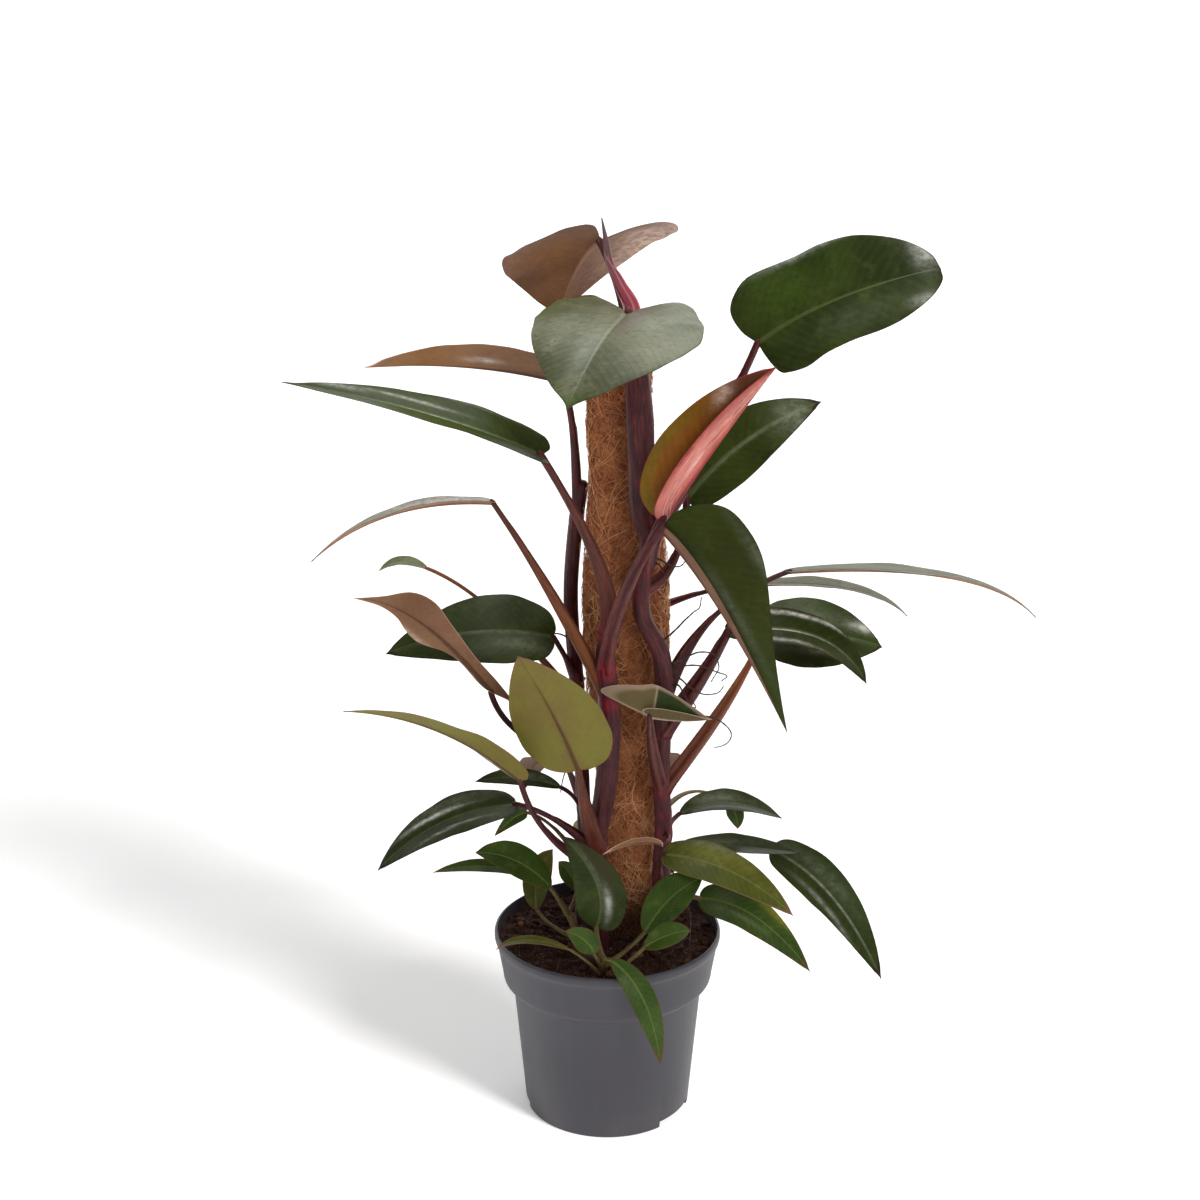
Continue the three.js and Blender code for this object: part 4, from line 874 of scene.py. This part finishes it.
           (106, 2, 236), (162, 4, 225)], (0, -0.15, 0.95), (3, 2),
           marks=[("haze", -0.3, 0.3, 0.35, 0.3, 0.4)]),
    leafOf("low_right", "vine_right", "green", "lance", 44, [(44, -16, 214), (80, 24, 222), (140, 18, 222),
           (194, -4, 204), (229, -28, 125)], (0.3, -0.6, 0.7), (3.4, 2), fold=(6, 6), warm=(0.3, 0.3),
           marks=[("haze", -0.4, 0.3, 0.35, 0.3, 0.35), ("gleam", 0.05, 0.05, 0.45, 0.35, 0.35),
           ("gleam", 0.6, 0.1, 0.5, 0.25, 0.3)]),
    leafOf("edge_right", "vine_right", "fresh", "lance", 38, [(44, -16, 194), (60, -20, 200),
           (77, -22, 196), (121, -32, 201), (167, -47, 142)], (0.2, -0.5, 0.8), (3, 2), fold=(5, 5),
           marks=[("lime", -0.75, 0.22, 0.66, 0.16, 0.8), ("haze", 0.4, 0.12, 0.4, 0.25, 0.35)]),
    leafOf("green_right", "vine_right", "green", "young", 32, [(46, -17, 254), (54, -4, 260), (60, 4, 261),
           (98, 8, 282), (146, 10, 254)], (0, -0.2, 0.95), (3, 2),
           marks=[("haze", -0.3, 0.35, 0.4, 0.3, 0.5), ("haze", 0.5, 0.15, 0.5, 0.3, 0.4)]),
    leafOf("tiny_right", "vine_right", "fresh", "young", 15, [(45, -18, 272), (70, 48, 276),
           (101, 40, 256), (111, 38, 250), (111, 38, 232)], (0, -0.9, 0.3), (2.2, 1.3)),
    leafOf("front_right", "shoot_front", "fresh", "young", 36, [(-3, -72, 160), (14, -66, 168),
           (30, -60, 184), (50, -56, 220), (77, -50, 228)], (-0.2, -0.6, 0.8), (2.4, 1.7)),
    leafOf("small_right", "shoot_front", "fresh", "young", 22, [(-3, -72, 152), (16, -86, 168),
           (29, -86, 184), (49, -88, 199), (66, -86, 199)], (-0.2, -0.6, 0.8), (2, 1.4)),
    leafOf("small_front", "shoot_front", "fresh", "young", 20, [(-5, -73, 160), (-8, -80, 170),
           (-11, -80, 175), (-14, -80, 188), (-34, -80, 196)], (0, -0.8, 0.6), (2, 1.4)),
    leafOf("over_rim", "shoot_front", "fresh", "young", 22, [(-4, -73, 156), (-4, -84, 176), (2, -92, 176),
           (34, -112, 164), (42, -118, 97)], (-0.2, -0.7, 0.6), (2, 1.6)),
    leafOf("rim_left", "shoot_front", "olive", "young", 10, [(-5, -73, 152), (-16, -84, 172),
           (-30, -82, 180), (-70, -76, 194), (-90, -74, 176)], (0, -0.3, 1), (1.6, 1.2)),
    leafOf("back_high", "vine_back", "green", "heart", 66, [(18, 49, 538), (20, 86, 592), (14, 98, 626),
           (4, 150, 630), (-4, 168, 576)], (0, 0.5, 0.9), (4.5, 2.6), fold=(6, 6)),
    leafOf("back_upper", "vine_back", "green", "lance", 58, [(19, 52, 488), (18, 86, 536), (18, 102, 540),
           (16, 124, 500), (14, 118, 420)], (0, 0.95, 0.2), (5, 2.6), fold=(6, 6)),
    leafOf("back_middle", "vine_back", "olive", "lance", 54, [(21, 55, 420), (14, 76, 436), (10, 88, 424),
           (2, 106, 374), (6, 102, 300)], (-0.1, 0.95, 0.2), (5, 2.4), fold=(6, 6)),
    leafOf("back_low", "vine_back", "green", "lance", 40, [(26, 50, 262), (40, 72, 290), (44, 88, 282),
           (50, 132, 262), (50, 150, 206)], (0.1, 0.6, 0.7), (4, 2.2), fold=(6, 6)),
    leafOf("back_rim", "vine_back", "fresh", "lance", 36, [(26, 50, 200), (10, 70, 222), (0, 80, 220),
           (-16, 116, 216), (-22, 140, 160)], (-0.1, 0.5, 0.8), (3.4, 2), fold=(6, 6)),
    leafOf("back_left", "vine_left", "green", "lance", 40, [(-20, 34, 254), (-34, 62, 282), (-40, 76, 280),
           (-64, 116, 276), (-74, 142, 226)], (-0.2, 0.5, 0.8), (4, 2), fold=(6, 6)),
]


def blushed(vine, height):  # the upper nodes of the front shoot are crimson
    return vine == "vine_front" and height > stems["blushFrom"]


def stemSkin(name):
    skin, wire = newSkin("stem_" + name)
    tones = stems[name]
    grain = wire.place("grain")
    flow = wire.place("flow")
    streak = wire.noise(2.2, 4, 0.6, grain.stretched(3, 3, 0.3))
    hair = wire.noise(9, 3, 0.6, grain.stretched(3, 3, 0.22))
    cloud = wire.noise(1.1, 3, 0.5, grain)
    lip = flow.axis("Y")
    near = flow.axis("Z")
    warm = wire.value("warm")
    patches = streak.step(0.35, 0.75) * 0.8 + cloud.step(0.5, 0.8) * 0.3
    colour = wire.mixed(tones["dark"], tones["middle"], patches)
    colour = wire.mixed(colour, tones["ochre"], warm * (0.6 + 0.4 * streak.step(0.3, 0.6)))
    # pale streaks: painted highlight
    colour = wire.mixed(colour, tones["pale"], hair.step(0.6, 0.82) * 0.18)
    colour = wire.mixed(colour, tones["blush"], near * (0.5 + 0.5 * streak.step(0.4, 0.6)))
    colour = wire.mixed(colour, tones["paper"], lip * (0.2 + 0.6 * hair.step(0.4, 0.65)))
    wire.close(colour, 0.4 + hair * 0.15 + lip * 0.15,
               wire.bump(streak * 0.5 + hair * 0.2, 0.0005, 0.5), Specular_IOR_Level=0.24)
    return skin


def rootSkin():
    skin, wire = newSkin("aerial_root")
    fine = wire.noise(500, 3, 0.6)
    tip = wire.value("tint")
    colour = wire.mixed(stems["root"], stems["rootTip"], fine.step(0.4, 0.8) + tip * 0.5)
    wire.close(colour, 0.62, wire.bump(fine, 0.0003, 0.6), Specular_IOR_Level=0.4)
    return skin


stemDark = stemSkin("burgundy")
stemFresh = stemSkin("young")
rootDark = rootSkin()


def leafRoots(name):
    return np.array([leaf["root"] for leaf in leaves if leaf["vine"] == name], float)


def makeStem(name, vine):  # a shoot's heap is given back, because its node is a leaf of its own
    rng = np.random.default_rng(stems["seed"] + len(vine["points"]))
    shoot = name.startswith("shoot")
    steps = 40 if shoot else 190
    sides = stems["sides"]
    places = np.linspace(0, 1, steps)
    route = curveThrough(vine["points"], places)
    long = lengthAlong(route)
    radii = listed(vine["radii"], places)
    nodesAt = leafRoots(name)
    swell = np.zeros(steps)
    near = np.zeros(steps)
    for root in nodesAt:
        away = np.linalg.norm(route - root, axis=1)
        at = long[np.argmin(away)]
        gap = long - at
        swell += 0.55 * np.exp(-(gap / 4.5) ** 2) - 0.5 * np.exp(-((gap + 6) / 1.1) ** 2)
        near += np.exp(-((gap + 1) / 7) ** 2) * (1.0 if blushed(name, root[2]) else 0.16)
    turn = ringTurns(sides)
    twist = 0.012 * long[:, None] + rng.uniform(0, 6)
    ridges = 0.035 * np.sin(5 * turn[None] + twist) + 0.025 * np.sin(9 * turn[None] - 2 * twist)
    rows = (radii + (0.25 if shoot else 0.5) * swell)[:, None] * (1 + ridges)
    rows[-1] *= 0.55
    rows[-2] *= 0.85
    tube = tubePoints(route, rows, turn, (0, -1, 0.2))
    flow = np.stack([places[:, None] + 0 * rows, 0 * rows, np.clip(near, 0, 1)[:, None] + 0 * rows], -1)
    heap = Heap()
    heap.add(tube, tubeFaces(steps, sides), grain=tubeGrain(rows, turn, long), flow=flow, warm=0 * rows)
    if shoot:
        return heap
    heap.piece(name + "_skin", [stemDark], [name], "stem")
    heap = Heap()
    for points in vine["roots"]:
        addRoot(heap, points, rng, 0.85, 0.4)
    heap.piece(name + "_roots", [rootDark], slot="stem")


def addRoot(heap, points, rng, thick, thin):
    steps, sides = 34, 7
    places = np.linspace(0, 1, steps)
    route = curveThrough(points, places)
    wobble = Rumble(rng, 0.15, 0.5, 5)
    shift = np.stack([wobble.at(route + [k * 50, 0, 0]) for k in range(3)], -1) * 0.35
    route = route + shift * smooth(places * 4)[:, None]
    radii = between(thick, thin, places) * (1 + 0.1 * np.sin(places * 60))
    turn = ringTurns(sides)
    tube = tubePoints(route, radii[:, None] + 0 * turn[None], turn, (0.3, -1, 0.2))
    heap.add(tube, tubeFaces(steps, sides), tint=(places[:, None] + 0 * turn[None]))


# leaves
outlines = dict(  # half a blade: distance from the midrib over the half width, place along the midrib
    heart=[(0, 0), (0.2, -0.07), (0.5, -0.13), (0.84, -0.04), (1, 0.16), (0.95, 0.38), (0.74, 0.62),
           (0.36, 0.85), (0.1, 0.95), (0, 1)],
    round=[(0, 0), (0.22, -0.03), (0.45, -0.06), (0.72, -0.09), (0.93, -0.05), (1.02, 0.1), (0.98, 0.3),
           (0.76, 0.6), (0.36, 0.85), (0.1, 0.95), (0, 1)],
    wing=[(0, 0), (0.12, -0.08), (0.35, -0.17), (0.6, -0.12), (0.86, 0.04), (1, 0.24), (0.95, 0.41),
          (0.74, 0.63), (0.36, 0.85), (0.1, 0.95), (0, 1)],
    oval=[(0, 0), (0.35, -0.05), (0.75, -0.04), (0.97, 0.1), (1, 0.3), (0.97, 0.5), (0.88, 0.7),
          (0.66, 0.86), (0.3, 0.97), (0, 1)],
    lance=[(0, 0), (0.3, -0.01), (0.7, 0.05), (0.95, 0.2), (1, 0.38), (0.85, 0.6), (0.55, 0.79),
           (0.22, 0.93), (0.07, 0.975), (0, 1)],
    young=[(0, 0), (0.25, 0.02), (0.6, 0.12), (0.9, 0.3), (1, 0.48), (0.86, 0.68), (0.5, 0.86),
           (0.15, 0.96), (0, 1)],
    drop=[(0, 0), (0.3, -0.01), (0.66, 0.04), (0.94, 0.14), (1, 0.27), (0.94, 0.4), (0.74, 0.53),
          (0.5, 0.66), (0.29, 0.79), (0.13, 0.9), (0, 1)],
    ladle=[(0, 0), (0.3, -0.06), (0.5, -0.1), (0.52, 0), (0.48, 0.16), (0.72, 0.34), (1, 0.48),
           (0.88, 0.62), (0.36, 0.76), (0.12, 0.88), (0, 1)],
    flap=[(0, 0), (0.2, 0.06), (0.2, 0.2), (0.42, 0.29), (0.76, 0.36), (1, 0.44), (0.86, 0.54),
          (0.5, 0.63), (0.26, 0.76), (0.16, 0.9), (0, 1)],
)
# The second and third looks have pale grey-green tops: painted reflection of the light on glossy green
# blades.
looks = dict(  # colours of the blade's two sides; far: towards the tip; shine: how strongly it mirrors
    green=dict(top=rgb(52, 64, 24), deep=rgb(34, 44, 14), light=rgb(76, 86, 42), under=rgb(128, 98, 80),
               rust=rgb(104, 76, 58), rib=rgb(98, 110, 62), ribUnder=rgb(96, 58, 50), margin=rgb(46, 28, 22),
               gloss=0.27, shine=0.1),
    silver=dict(top=rgb(112, 114, 92), deep=rgb(88, 92, 70), light=rgb(146, 142, 120),
                under=rgb(168, 126, 98), rust=rgb(140, 100, 76), rib=rgb(84, 82, 62),
                ribUnder=rgb(110, 70, 56), margin=rgb(76, 54, 42), gloss=0.4, shine=0.12),
    sheen=dict(specks=0.9, top=rgb(102, 102, 74), deep=rgb(64, 70, 42), light=rgb(146, 144, 120),
               under=rgb(150, 116, 90), rust=rgb(120, 90, 70), rib=rgb(132, 132, 104),
               ribUnder=rgb(110, 70, 56), margin=rgb(58, 52, 36), gloss=0.32, shine=0.3),
    fresh=dict(top=rgb(66, 90, 32), deep=rgb(46, 68, 24), light=rgb(110, 124, 56), under=rgb(138, 146, 76),
               rust=rgb(140, 130, 70), rib=rgb(120, 136, 66), ribUnder=rgb(120, 100, 66),
               margin=rgb(92, 66, 34), gloss=0.3, shine=0.15),
    bronze=dict(top=rgb(62, 62, 30), deep=rgb(44, 48, 20), light=rgb(92, 84, 44), under=rgb(142, 106, 78),
                rust=rgb(114, 78, 52), rib=rgb(120, 104, 76), ribUnder=rgb(74, 44, 34),
                margin=rgb(196, 158, 136), gloss=0.32, shine=0.2),
    olive=dict(top=rgb(84, 90, 28), deep=rgb(62, 72, 20), light=rgb(130, 128, 60), under=rgb(118, 114, 46),
               rust=rgb(116, 98, 52), rib=rgb(130, 126, 78), ribUnder=rgb(82, 46, 34),
               margin=rgb(128, 92, 68), gloss=0.34, shine=0.16),
    copper=dict(top=rgb(60, 66, 30), deep=rgb(44, 52, 22), light=rgb(90, 88, 44), under=rgb(122, 82, 52),
                rust=rgb(90, 54, 30), rib=rgb(122, 112, 80), ribUnder=rgb(156, 116, 92),
                margin=rgb(84, 48, 34), gloss=0.32, shine=0.2),
    unrolled=dict(top=rgb(140, 82, 6), deep=rgb(112, 60, 8), light=rgb(160, 112, 40),
                  under=rgb(210, 120, 108), rust=rgb(150, 70, 62), rib=rgb(120, 48, 34),
                  ribUnder=rgb(140, 40, 46), margin=rgb(132, 44, 40), gloss=0.3, shine=0.16,
                  far=rgb(78, 38, 18), border=rgb(96, 98, 16), streak=rgb(244, 208, 198)),
    curled=dict(top=rgb(54, 70, 28), deep=rgb(38, 52, 20), light=rgb(88, 92, 54), under=rgb(84, 72, 44),
                rust=rgb(84, 70, 46), rib=rgb(176, 168, 132), ribUnder=rgb(176, 150, 128),
                margin=rgb(180, 152, 132), gloss=0.36, shine=0.14, lobe=rgb(104, 92, 62)),
)
# The first three paints are painted light: highlight streaks and glints, grey-green sheen and white
# reflection. pale is partly painted highlight and mauve partly painted shade; the others are the blades' own
# colours.
paints = dict(  # colours of the marks on blades
    gleam=rgb(222, 224, 214), haze=rgb(128, 136, 116), white=rgb(214, 212, 204), salmon=rgb(188, 140, 114),
    mauve=rgb(86, 70, 66), leaf=rgb(66, 92, 22), moss=rgb(82, 96, 52), lime=rgb(146, 140, 44),
    drab=rgb(46, 50, 6), slate=rgb(74, 76, 62), ochre=rgb(146, 100, 44), blush=rgb(160, 118, 100),
    pale=rgb(206, 178, 162), umber=rgb(62, 44, 32), wine=rgb(120, 34, 36),
)


def bladeSkin(name, look):
    skin, wire = newSkin("blade_" + name)
    grain = wire.place("grain")
    vein = wire.place("vein")
    upper = wire.value("upper").step(0.3, 0.7)
    across, lengthwise, tone = grain.axis("X"), grain.axis("Y"), grain.axis("Z")
    phase, rib, margin = vein.axis("X"), vein.axis("Y"), vein.axis("Z")
    cloud = wire.noise(24, 4, 0.6)
    blot = wire.noise(80, 5, 0.65)
    fine = wire.noise(1300, 2, 0.6)
    speck = wire.noise(330, 3, 0.6, wire.here().stretched(0.55, 1, 1.5)).step(0.53, 0.66)
    wander = (phase + cloud * 0.3 + blot * 0.12).part()
    line = (wander - 0.5).size().step(0.14, 0.0)
    small = ((phase * 5 + blot * 0.9).part() - 0.5).size().step(0.24, 0.0)
    middle = (wander - 0.5).size().step(0.1, 0.5)  # the soft field between two side veins
    midrib = rib.step(1.1, 0.6)
    edge = margin.step(0.7, 0.2)
    top = wire.mixed(look["top"], look["deep"], cloud.step(0.38, 0.66) * 0.75 + tone * 0.35)
    top = wire.mixed(top, look["light"], blot.step(0.5, 0.78) * 0.42 + middle * 0.08)
    top = wire.mixed(top, look["deep"], speck * look.get("specks", 0.15) + line * 0.05)
    top = wire.mixed(top, look["rib"], small * 0.03 + fine.step(0.55, 0.8) * 0.04)
    top = wire.mixed(top, look["rib"], midrib * 0.42)
    under = wire.mixed(look["under"], look["rust"],
                       cloud.step(0.36, 0.68) * 0.65 + blot.step(0.5, 0.8) * 0.3 + tone * 0.2)
    under = wire.mixed(under, look["ribUnder"], line * 0.07 + small * 0.03 + speck * 0.08)
    under = wire.mixed(under, look["ribUnder"], midrib * lengthwise.step(1.1, 0.3) * 0.85)
    if "far" in look:
        top = wire.mixed(top, look["border"], margin.step(14, 2) * lengthwise.step(0.85, 0.4) * 0.5)
        top = wire.mixed(top, look["far"], (lengthwise + cloud * 0.3).step(0.62, 1.05) * 0.85)
        threads = wire.noise(5, 4, 0.7, grain.stretched(7, 0.9, 0)).step(0.46, 0.66)
        inside = across.step(0.95, 0.45) * across.step(0.08, 0.3)
        under = wire.mixed(under, look["streak"], threads * inside * 0.8)
    if "lobe" in look:
        top = wire.mixed(top, look["lobe"], lengthwise.step(0.07, 0.0))
        top = wire.mixed(top, look["margin"], (lengthwise - 0.04).size().step(0.035, 0.0) * 0.7)
        top = wire.mixed(top, look["margin"], margin.step(4.5, 1.5) * 0.6)
    colour = wire.mixed(under, top, upper)
    ragged = 0.45 + wire.noise(140, 4, 0.7, wire.here().stretched(1, 1, 1.6)).step(0.34, 0.66) * 0.8
    # marks: the blades' own tints, and painted highlights, sheen, reflection and shade
    colour = wire.mixed(colour, wire.place("paint"), wire.value("cover") * ragged)
    colour = wire.mixed(colour, look["margin"], edge * 0.8)
    rough = 0.48 + fine * 0.08 - upper * (0.48 - look["gloss"]) + blot * 0.1
    height = line * 0.14 + small * 0.04 + fine * 0.06 + blot * 0.4
    wire.close(colour, rough, wire.bump(1 - height, 0.0005, 0.5), Specular_IOR_Level=look["shine"])
    return skin


bladeSkins = {name: bladeSkin(name, look) for name, look in looks.items()}


def midribPoint(leaf, w):
    base, bend, tip = (np.array(leaf[key], float) for key in ("base", "bend", "tip"))
    w = w[..., None]
    onward = (1 - w) ** 2 * base + 2 * w * (1 - w) * bend + w * w * tip
    return np.where(w < 0, base + 2 * w * (bend - base), onward)


def midribFrame(leaf, w):
    base, bend, tip = (np.array(leaf[key], float) for key in ("base", "bend", "tip"))
    s = np.maximum(w, 0)[..., None]
    ahead = unit((bend - base) * (1 - s) + (tip - bend) * s)
    face = unit(np.array(leaf["face"], float))
    up = unit(face - ahead * (ahead @ face)[..., None])
    return ahead, up, np.cross(ahead, up)


def bladeColumns(leaf):  # places across each half: close together at the midrib and the margin
    rib = min(0.8 * leaf["stalk"] / (leaf["width"] / 2), 0.2)
    inner = rib * np.array([0.3, 0.6, 0.85, 1.0, 1.35])
    outer = np.array([0.06, 0.13, 0.22, 0.32, 0.43, 0.54, 0.65, 0.75, 0.84, 0.91, 0.96, 0.985, 1])
    half = np.concatenate([inner, inner[-1] + (1 - inner[-1]) * outer])
    return np.concatenate([-half[::-1], [0], half])


def addBlade(heap, leaf, rng):
    small = leaf["width"] <= 26
    rows = 30 if small else 46
    t = np.linspace(0, 1, rows)
    columns = bladeColumns(leaf)
    right = (columns > 0).astype(int)
    sign = np.where(columns > 0, 1.0, -1.0)
    v = np.abs(columns)[None]
    forms = [curveThrough(outlines[leaf.get(key, leaf["form"])], t) for key in ("form", "other")]
    edge = np.stack(forms, 1)[:, right]  # row, column, (distance, place)
    root = (t ** 1.25)[:, None]
    pick = lambda key, usual: np.array(leaf.get(key, usual), float)[right][None]
    half = leaf["width"] / 2 * pick("share", (1, 1))
    spread = np.maximum(edge[..., 0], 0)
    spread[[0, -1]] = 0
    u = spread * half * v
    lobed = np.where(edge[..., 1] < 0, edge[..., 1] * pick("lobe", (1, 1)), edge[..., 1])
    w = root + (lobed - root) * v ** 1.1 + pick("sweep", (0, 0)) * v * spread
    w[[0, -1]] = root[[0, -1]]
    fold = np.radians(pick("fold", (12, 12)))
    q = u / half
    wave = leaf.get("wave", 0) * q * q * np.sin(4 * math.pi * w + right * 2)
    crease = min(1.5, 0.035 * leaf["width"])
    soft = np.sqrt(u * u + crease * crease) - crease
    scale = leaf["width"] / 60
    gentle = np.cos(np.clip(fold, 0, 1.4)) ** 1.5
    a, b, c = rng.uniform(0, 6.283, (3, 1, 2))
    waves = [(1, 11, a), (0.6, 19, b), (0.35, 33, c)]
    ripple = sum(size * np.sin(w * rate + at[:, right]) for size, rate, at in waves)
    long = np.linalg.norm(np.diff(midribPoint(leaf, np.linspace(0, 1, 20)), axis=0), axis=1).sum()
    spacing = np.clip(long / 17, 3.2, 8.5)
    phase = (w * long - 0.62 * u - 0.35 * u * u / half) / spacing
    quilt = np.cos(2 * math.pi * phase) * q * (1 - q) * 4
    rise = soft * np.sin(fold) + leaf.get("cup", 0) * q * q + wave
    rise = rise + gentle * scale * (0.75 * ripple * q ** 3 - 0.07 * quilt - 0.5 * v ** 10)
    ahead, up, side = midribFrame(leaf, w)
    folds = np.radians(leaf.get("fold", (12, 12)))
    lean = between((folds[1] - folds[0]) / 2, sign * fold, np.minimum(u / 4, 1))
    middle = midribPoint(leaf, w) + side * (sign * u * np.cos(fold))[..., None] + up * rise[..., None]
    out = up * np.cos(lean)[..., None] - side * np.sin(lean)[..., None]
    thick = between(0.5, 0.26, v) / 2
    ribbed = between(leaf["stalk"] * 0.8, 0.3, root)
    ridge = np.sqrt(np.maximum(ribbed ** 2 - u * u, 0)) + 0.25 * ribbed * np.exp(-(u / (1.6 * ribbed)) ** 2)
    dent = 0.4 * ribbed * np.exp(-(u / (0.55 * ribbed)) ** 2) * smooth(root * 6 + 0.3)
    tone = rng.random()
    signed = columns[None] * spread
    painted = []
    for key in ("marks", "under"):
        paint, cover = np.zeros((rows, len(columns), 3)), np.zeros((rows, len(columns)))
        for colour, v0, dv, w0, dw, strength in leaf.get(key, ()):
            here = strength * np.exp(-((signed - v0) / dv) ** 2 - ((w - w0) / dw) ** 2)
            cover = 1 - (1 - cover) * (1 - here)
            share = here / np.maximum(cover, 1e-6)
            paint = between(paint, np.array(paints[colour][:3]), share[..., None])
        painted.append((paint, cover))
    away = (1 - v) * spread * half
    grain = np.stack([columns[None] + 0 * u, w, tone + 0 * u], -1)
    vein = np.stack([phase + 20, u / ribbed, away], -1)
    sides = [middle + out * (thick - dent)[..., None], middle - out * (thick + ridge)[..., None]]
    ids = np.zeros((rows, len(columns)), int)
    ids[1:-1] = 1 + np.arange((rows - 2) * len(columns)).reshape(rows - 2, -1)
    ids[-1] = ids[-2, -1] + 1
    count = ids[-1, 0] + 1

    def keep(grid):  # the first and last rows close to one point
        return np.concatenate([grid[:1, 0], grid[1:-1].reshape(-1, *grid.shape[2:]), grid[-1:, 0]])

    faces = gridFaces(ids) + gridFaces(ids + count, turned=True)
    for column, turned in ((0, False), (len(columns) - 1, True)):
        wall = np.stack([ids[:, column], ids[:, column] + count], 1)
        faces += gridFaces(wall, turned=not turned)
    upper = np.repeat([1.0, 0.0], count)
    paint, cover = (np.concatenate([keep(values[k]) for values in painted]) for k in (0, 1))
    heap.add(np.concatenate([keep(grid) for grid in sides]), faces, 0,
             grain=np.tile(keep(grain), (2, 1)), vein=np.tile(keep(vein), (2, 1)),
             upper=upper, paint=paint, cover=cover)


def addStalk(heap, leaf, rng):
    steps, sides = 34, 22
    t = np.linspace(0, 1, steps)
    root, elbow, base = (np.array(leaf[key], float) for key in ("root", "elbow", "base"))
    s = t[:, None]
    route = (1 - s) ** 2 * root + 2 * s * (1 - s) * elbow + s * s * base
    onward = unit(route[-1] - route[-2])
    route = np.vstack([route, [route[-1] + onward * leaf["stalk"] * far for far in (0.7, 1.3)]])
    t = np.concatenate([t, [1.02, 1.04]])
    reach = leaf.get("reach", 0.6)
    radii = between(leaf["sheath"], leaf["stalk"], smooth(t / reach) ** 1.6)
    radii[-2:] *= [0.72, 0.3]
    long = lengthAlong(route)
    turn = ringTurns(sides)
    off = np.minimum(turn, 2 * math.pi - turn)[None]  # angle from the side that faces the stem's tip
    sheathed = (1 - smooth((t / reach - 0.86) / 0.09))[:, None] * (leaf["sheath"] - leaf["stalk"] > 0.8)
    lips = np.exp(-((off - 0.72) / 0.22) ** 2)
    groove = np.exp(-(off / 0.45) ** 2)
    ear = np.exp(-((t / reach - 0.84) / 0.06) ** 2)[:, None]
    shape = 1 + sheathed * (0.2 * lips * (1 + 0.9 * ear) - 0.42 * groove)
    shape = shape - (1 - sheathed) * 0.14 * groove
    foot = 1 + 0.28 * np.exp(-long / (0.9 * leaf["sheath"]))
    wobble = 1 + 0.025 * np.sin(3 * turn[None] + long[:, None] * 0.06 + rng.uniform(0, 6))
    rows = (radii * foot)[:, None] * shape * wobble
    up = midribFrame(leaf, np.zeros(1))[1][0]
    tube = tubePoints(route, rows, turn, up, backwards=True)
    grain = tubeGrain(rows, turn, long, rng.uniform(0, 40))
    strong = 1.0 if blushed(leaf["vine"], root[2]) else 0.22
    near = strong * np.exp(-long / 14)[:, None] + 0 * rows
    flow = np.stack([t[:, None] + 0 * rows, sheathed * lips, near], -1)
    warm = listed(leaf.get("warm", (0, 0)), t)[:, None] + 0 * rows
    heap.add(tube, tubeFaces(len(t), sides), 1, grain=grain, flow=flow, warm=warm)


slotLooks = dict(unrolled="bronze", curled="olive", sheen="silver")  # looks whose pieces are passed another look's slot name, which piece does not use


def makeLeaves():
    for number, leaf in enumerate(leaves):
        rng = np.random.default_rng(100 + number)
        onShoot = leaf["vine"].startswith("shoot")
        heap = Heap()
        addBlade(heap, leaf, rng)
        addStalk(heap, leaf, rng)
        look = leaf["look"]
        skins = [bladeSkins[look], stemFresh if onShoot or look == "fresh" else stemDark]
        if onShoot:
            heap.piece(leaf["name"], skins, [leaf["vine"]], "leaf_fresh")
        else:
            slot = "leaf_" + slotLooks.get(look, look)
            heap.piece(leaf["name"] + "_skin", skins, [leaf["name"]], slot)
    for name, vine in vines.items():
        heap = makeStem(name, vine)
        if heap:
            heap.piece(name + "_skin", [stemFresh], [name], "leaf_fresh")


makeLeaves()
print("stems and leaves made")


# the rolled new leaf at the top
spike = dict(
    points=[(19, -28, 672), (17, -24, 687), (9, -22, 702), (1, -21, 719), (-2, -21, 736), (-5, -20, 752)],
    radii=[7.6, 6.6, 4.6, 3.2, 2.1, 0.5], turns=1.6,
    # pale is partly the rolled margin's own pink, partly painted highlight
    crimson=rgb(150, 44, 62), plum=rgb(84, 48, 52), pale=rgb(206, 128, 132),
)


def makeSpike():
    steps, sides = 90, 40
    places = np.linspace(0, 1, steps)
    route = curveThrough(spike["points"], places)
    radii = listed(spike["radii"], places)
    turn = ringTurns(sides)
    seam = (turn[None] / (2 * math.pi) + spike["turns"] * places[:, None]) % 1
    rows = radii[:, None] * (0.9 + 0.16 * seam)
    tube = tubePoints(route, rows, turn, (0, -1, 0.2))
    skin, wire = newSkin("spike_skin")
    flow = wire.place("flow")
    grain = wire.place("grain")
    streak = wire.noise(3, 3, 0.6, grain.stretched(2, 2, 0.3))
    higher = flow.axis("X").step(0.3, 0.75) + streak * 0.3 - 0.15
    # pale pink on the seam and in streaks: partly the rolled margin's own pink, partly painted highlight
    lip = flow.axis("Y").step(0.9, 1.0) * 0.5 + streak.step(0.6, 0.85) * 0.3
    colour = wire.mixed(spike["crimson"], spike["plum"], higher)
    colour = wire.mixed(colour, spike["pale"], lip)
    wire.close(colour, 0.34 + streak * 0.1, wire.bump(streak, 0.0005, 0.4),
               Coat_Weight=0.3, Coat_Roughness=0.25)
    long = lengthAlong(route)
    flow = np.stack([places[:, None] + 0 * seam, seam, 0 * seam], -1)
    heap = Heap()
    heap.add(tube, tubeFaces(steps, sides), grain=tubeGrain(rows, turn, long), flow=flow)
    heap.piece("leaf_spike_skin", [skin], ["leaf_spike"], "leaf_spike")


makeSpike()
print("new leaf made")
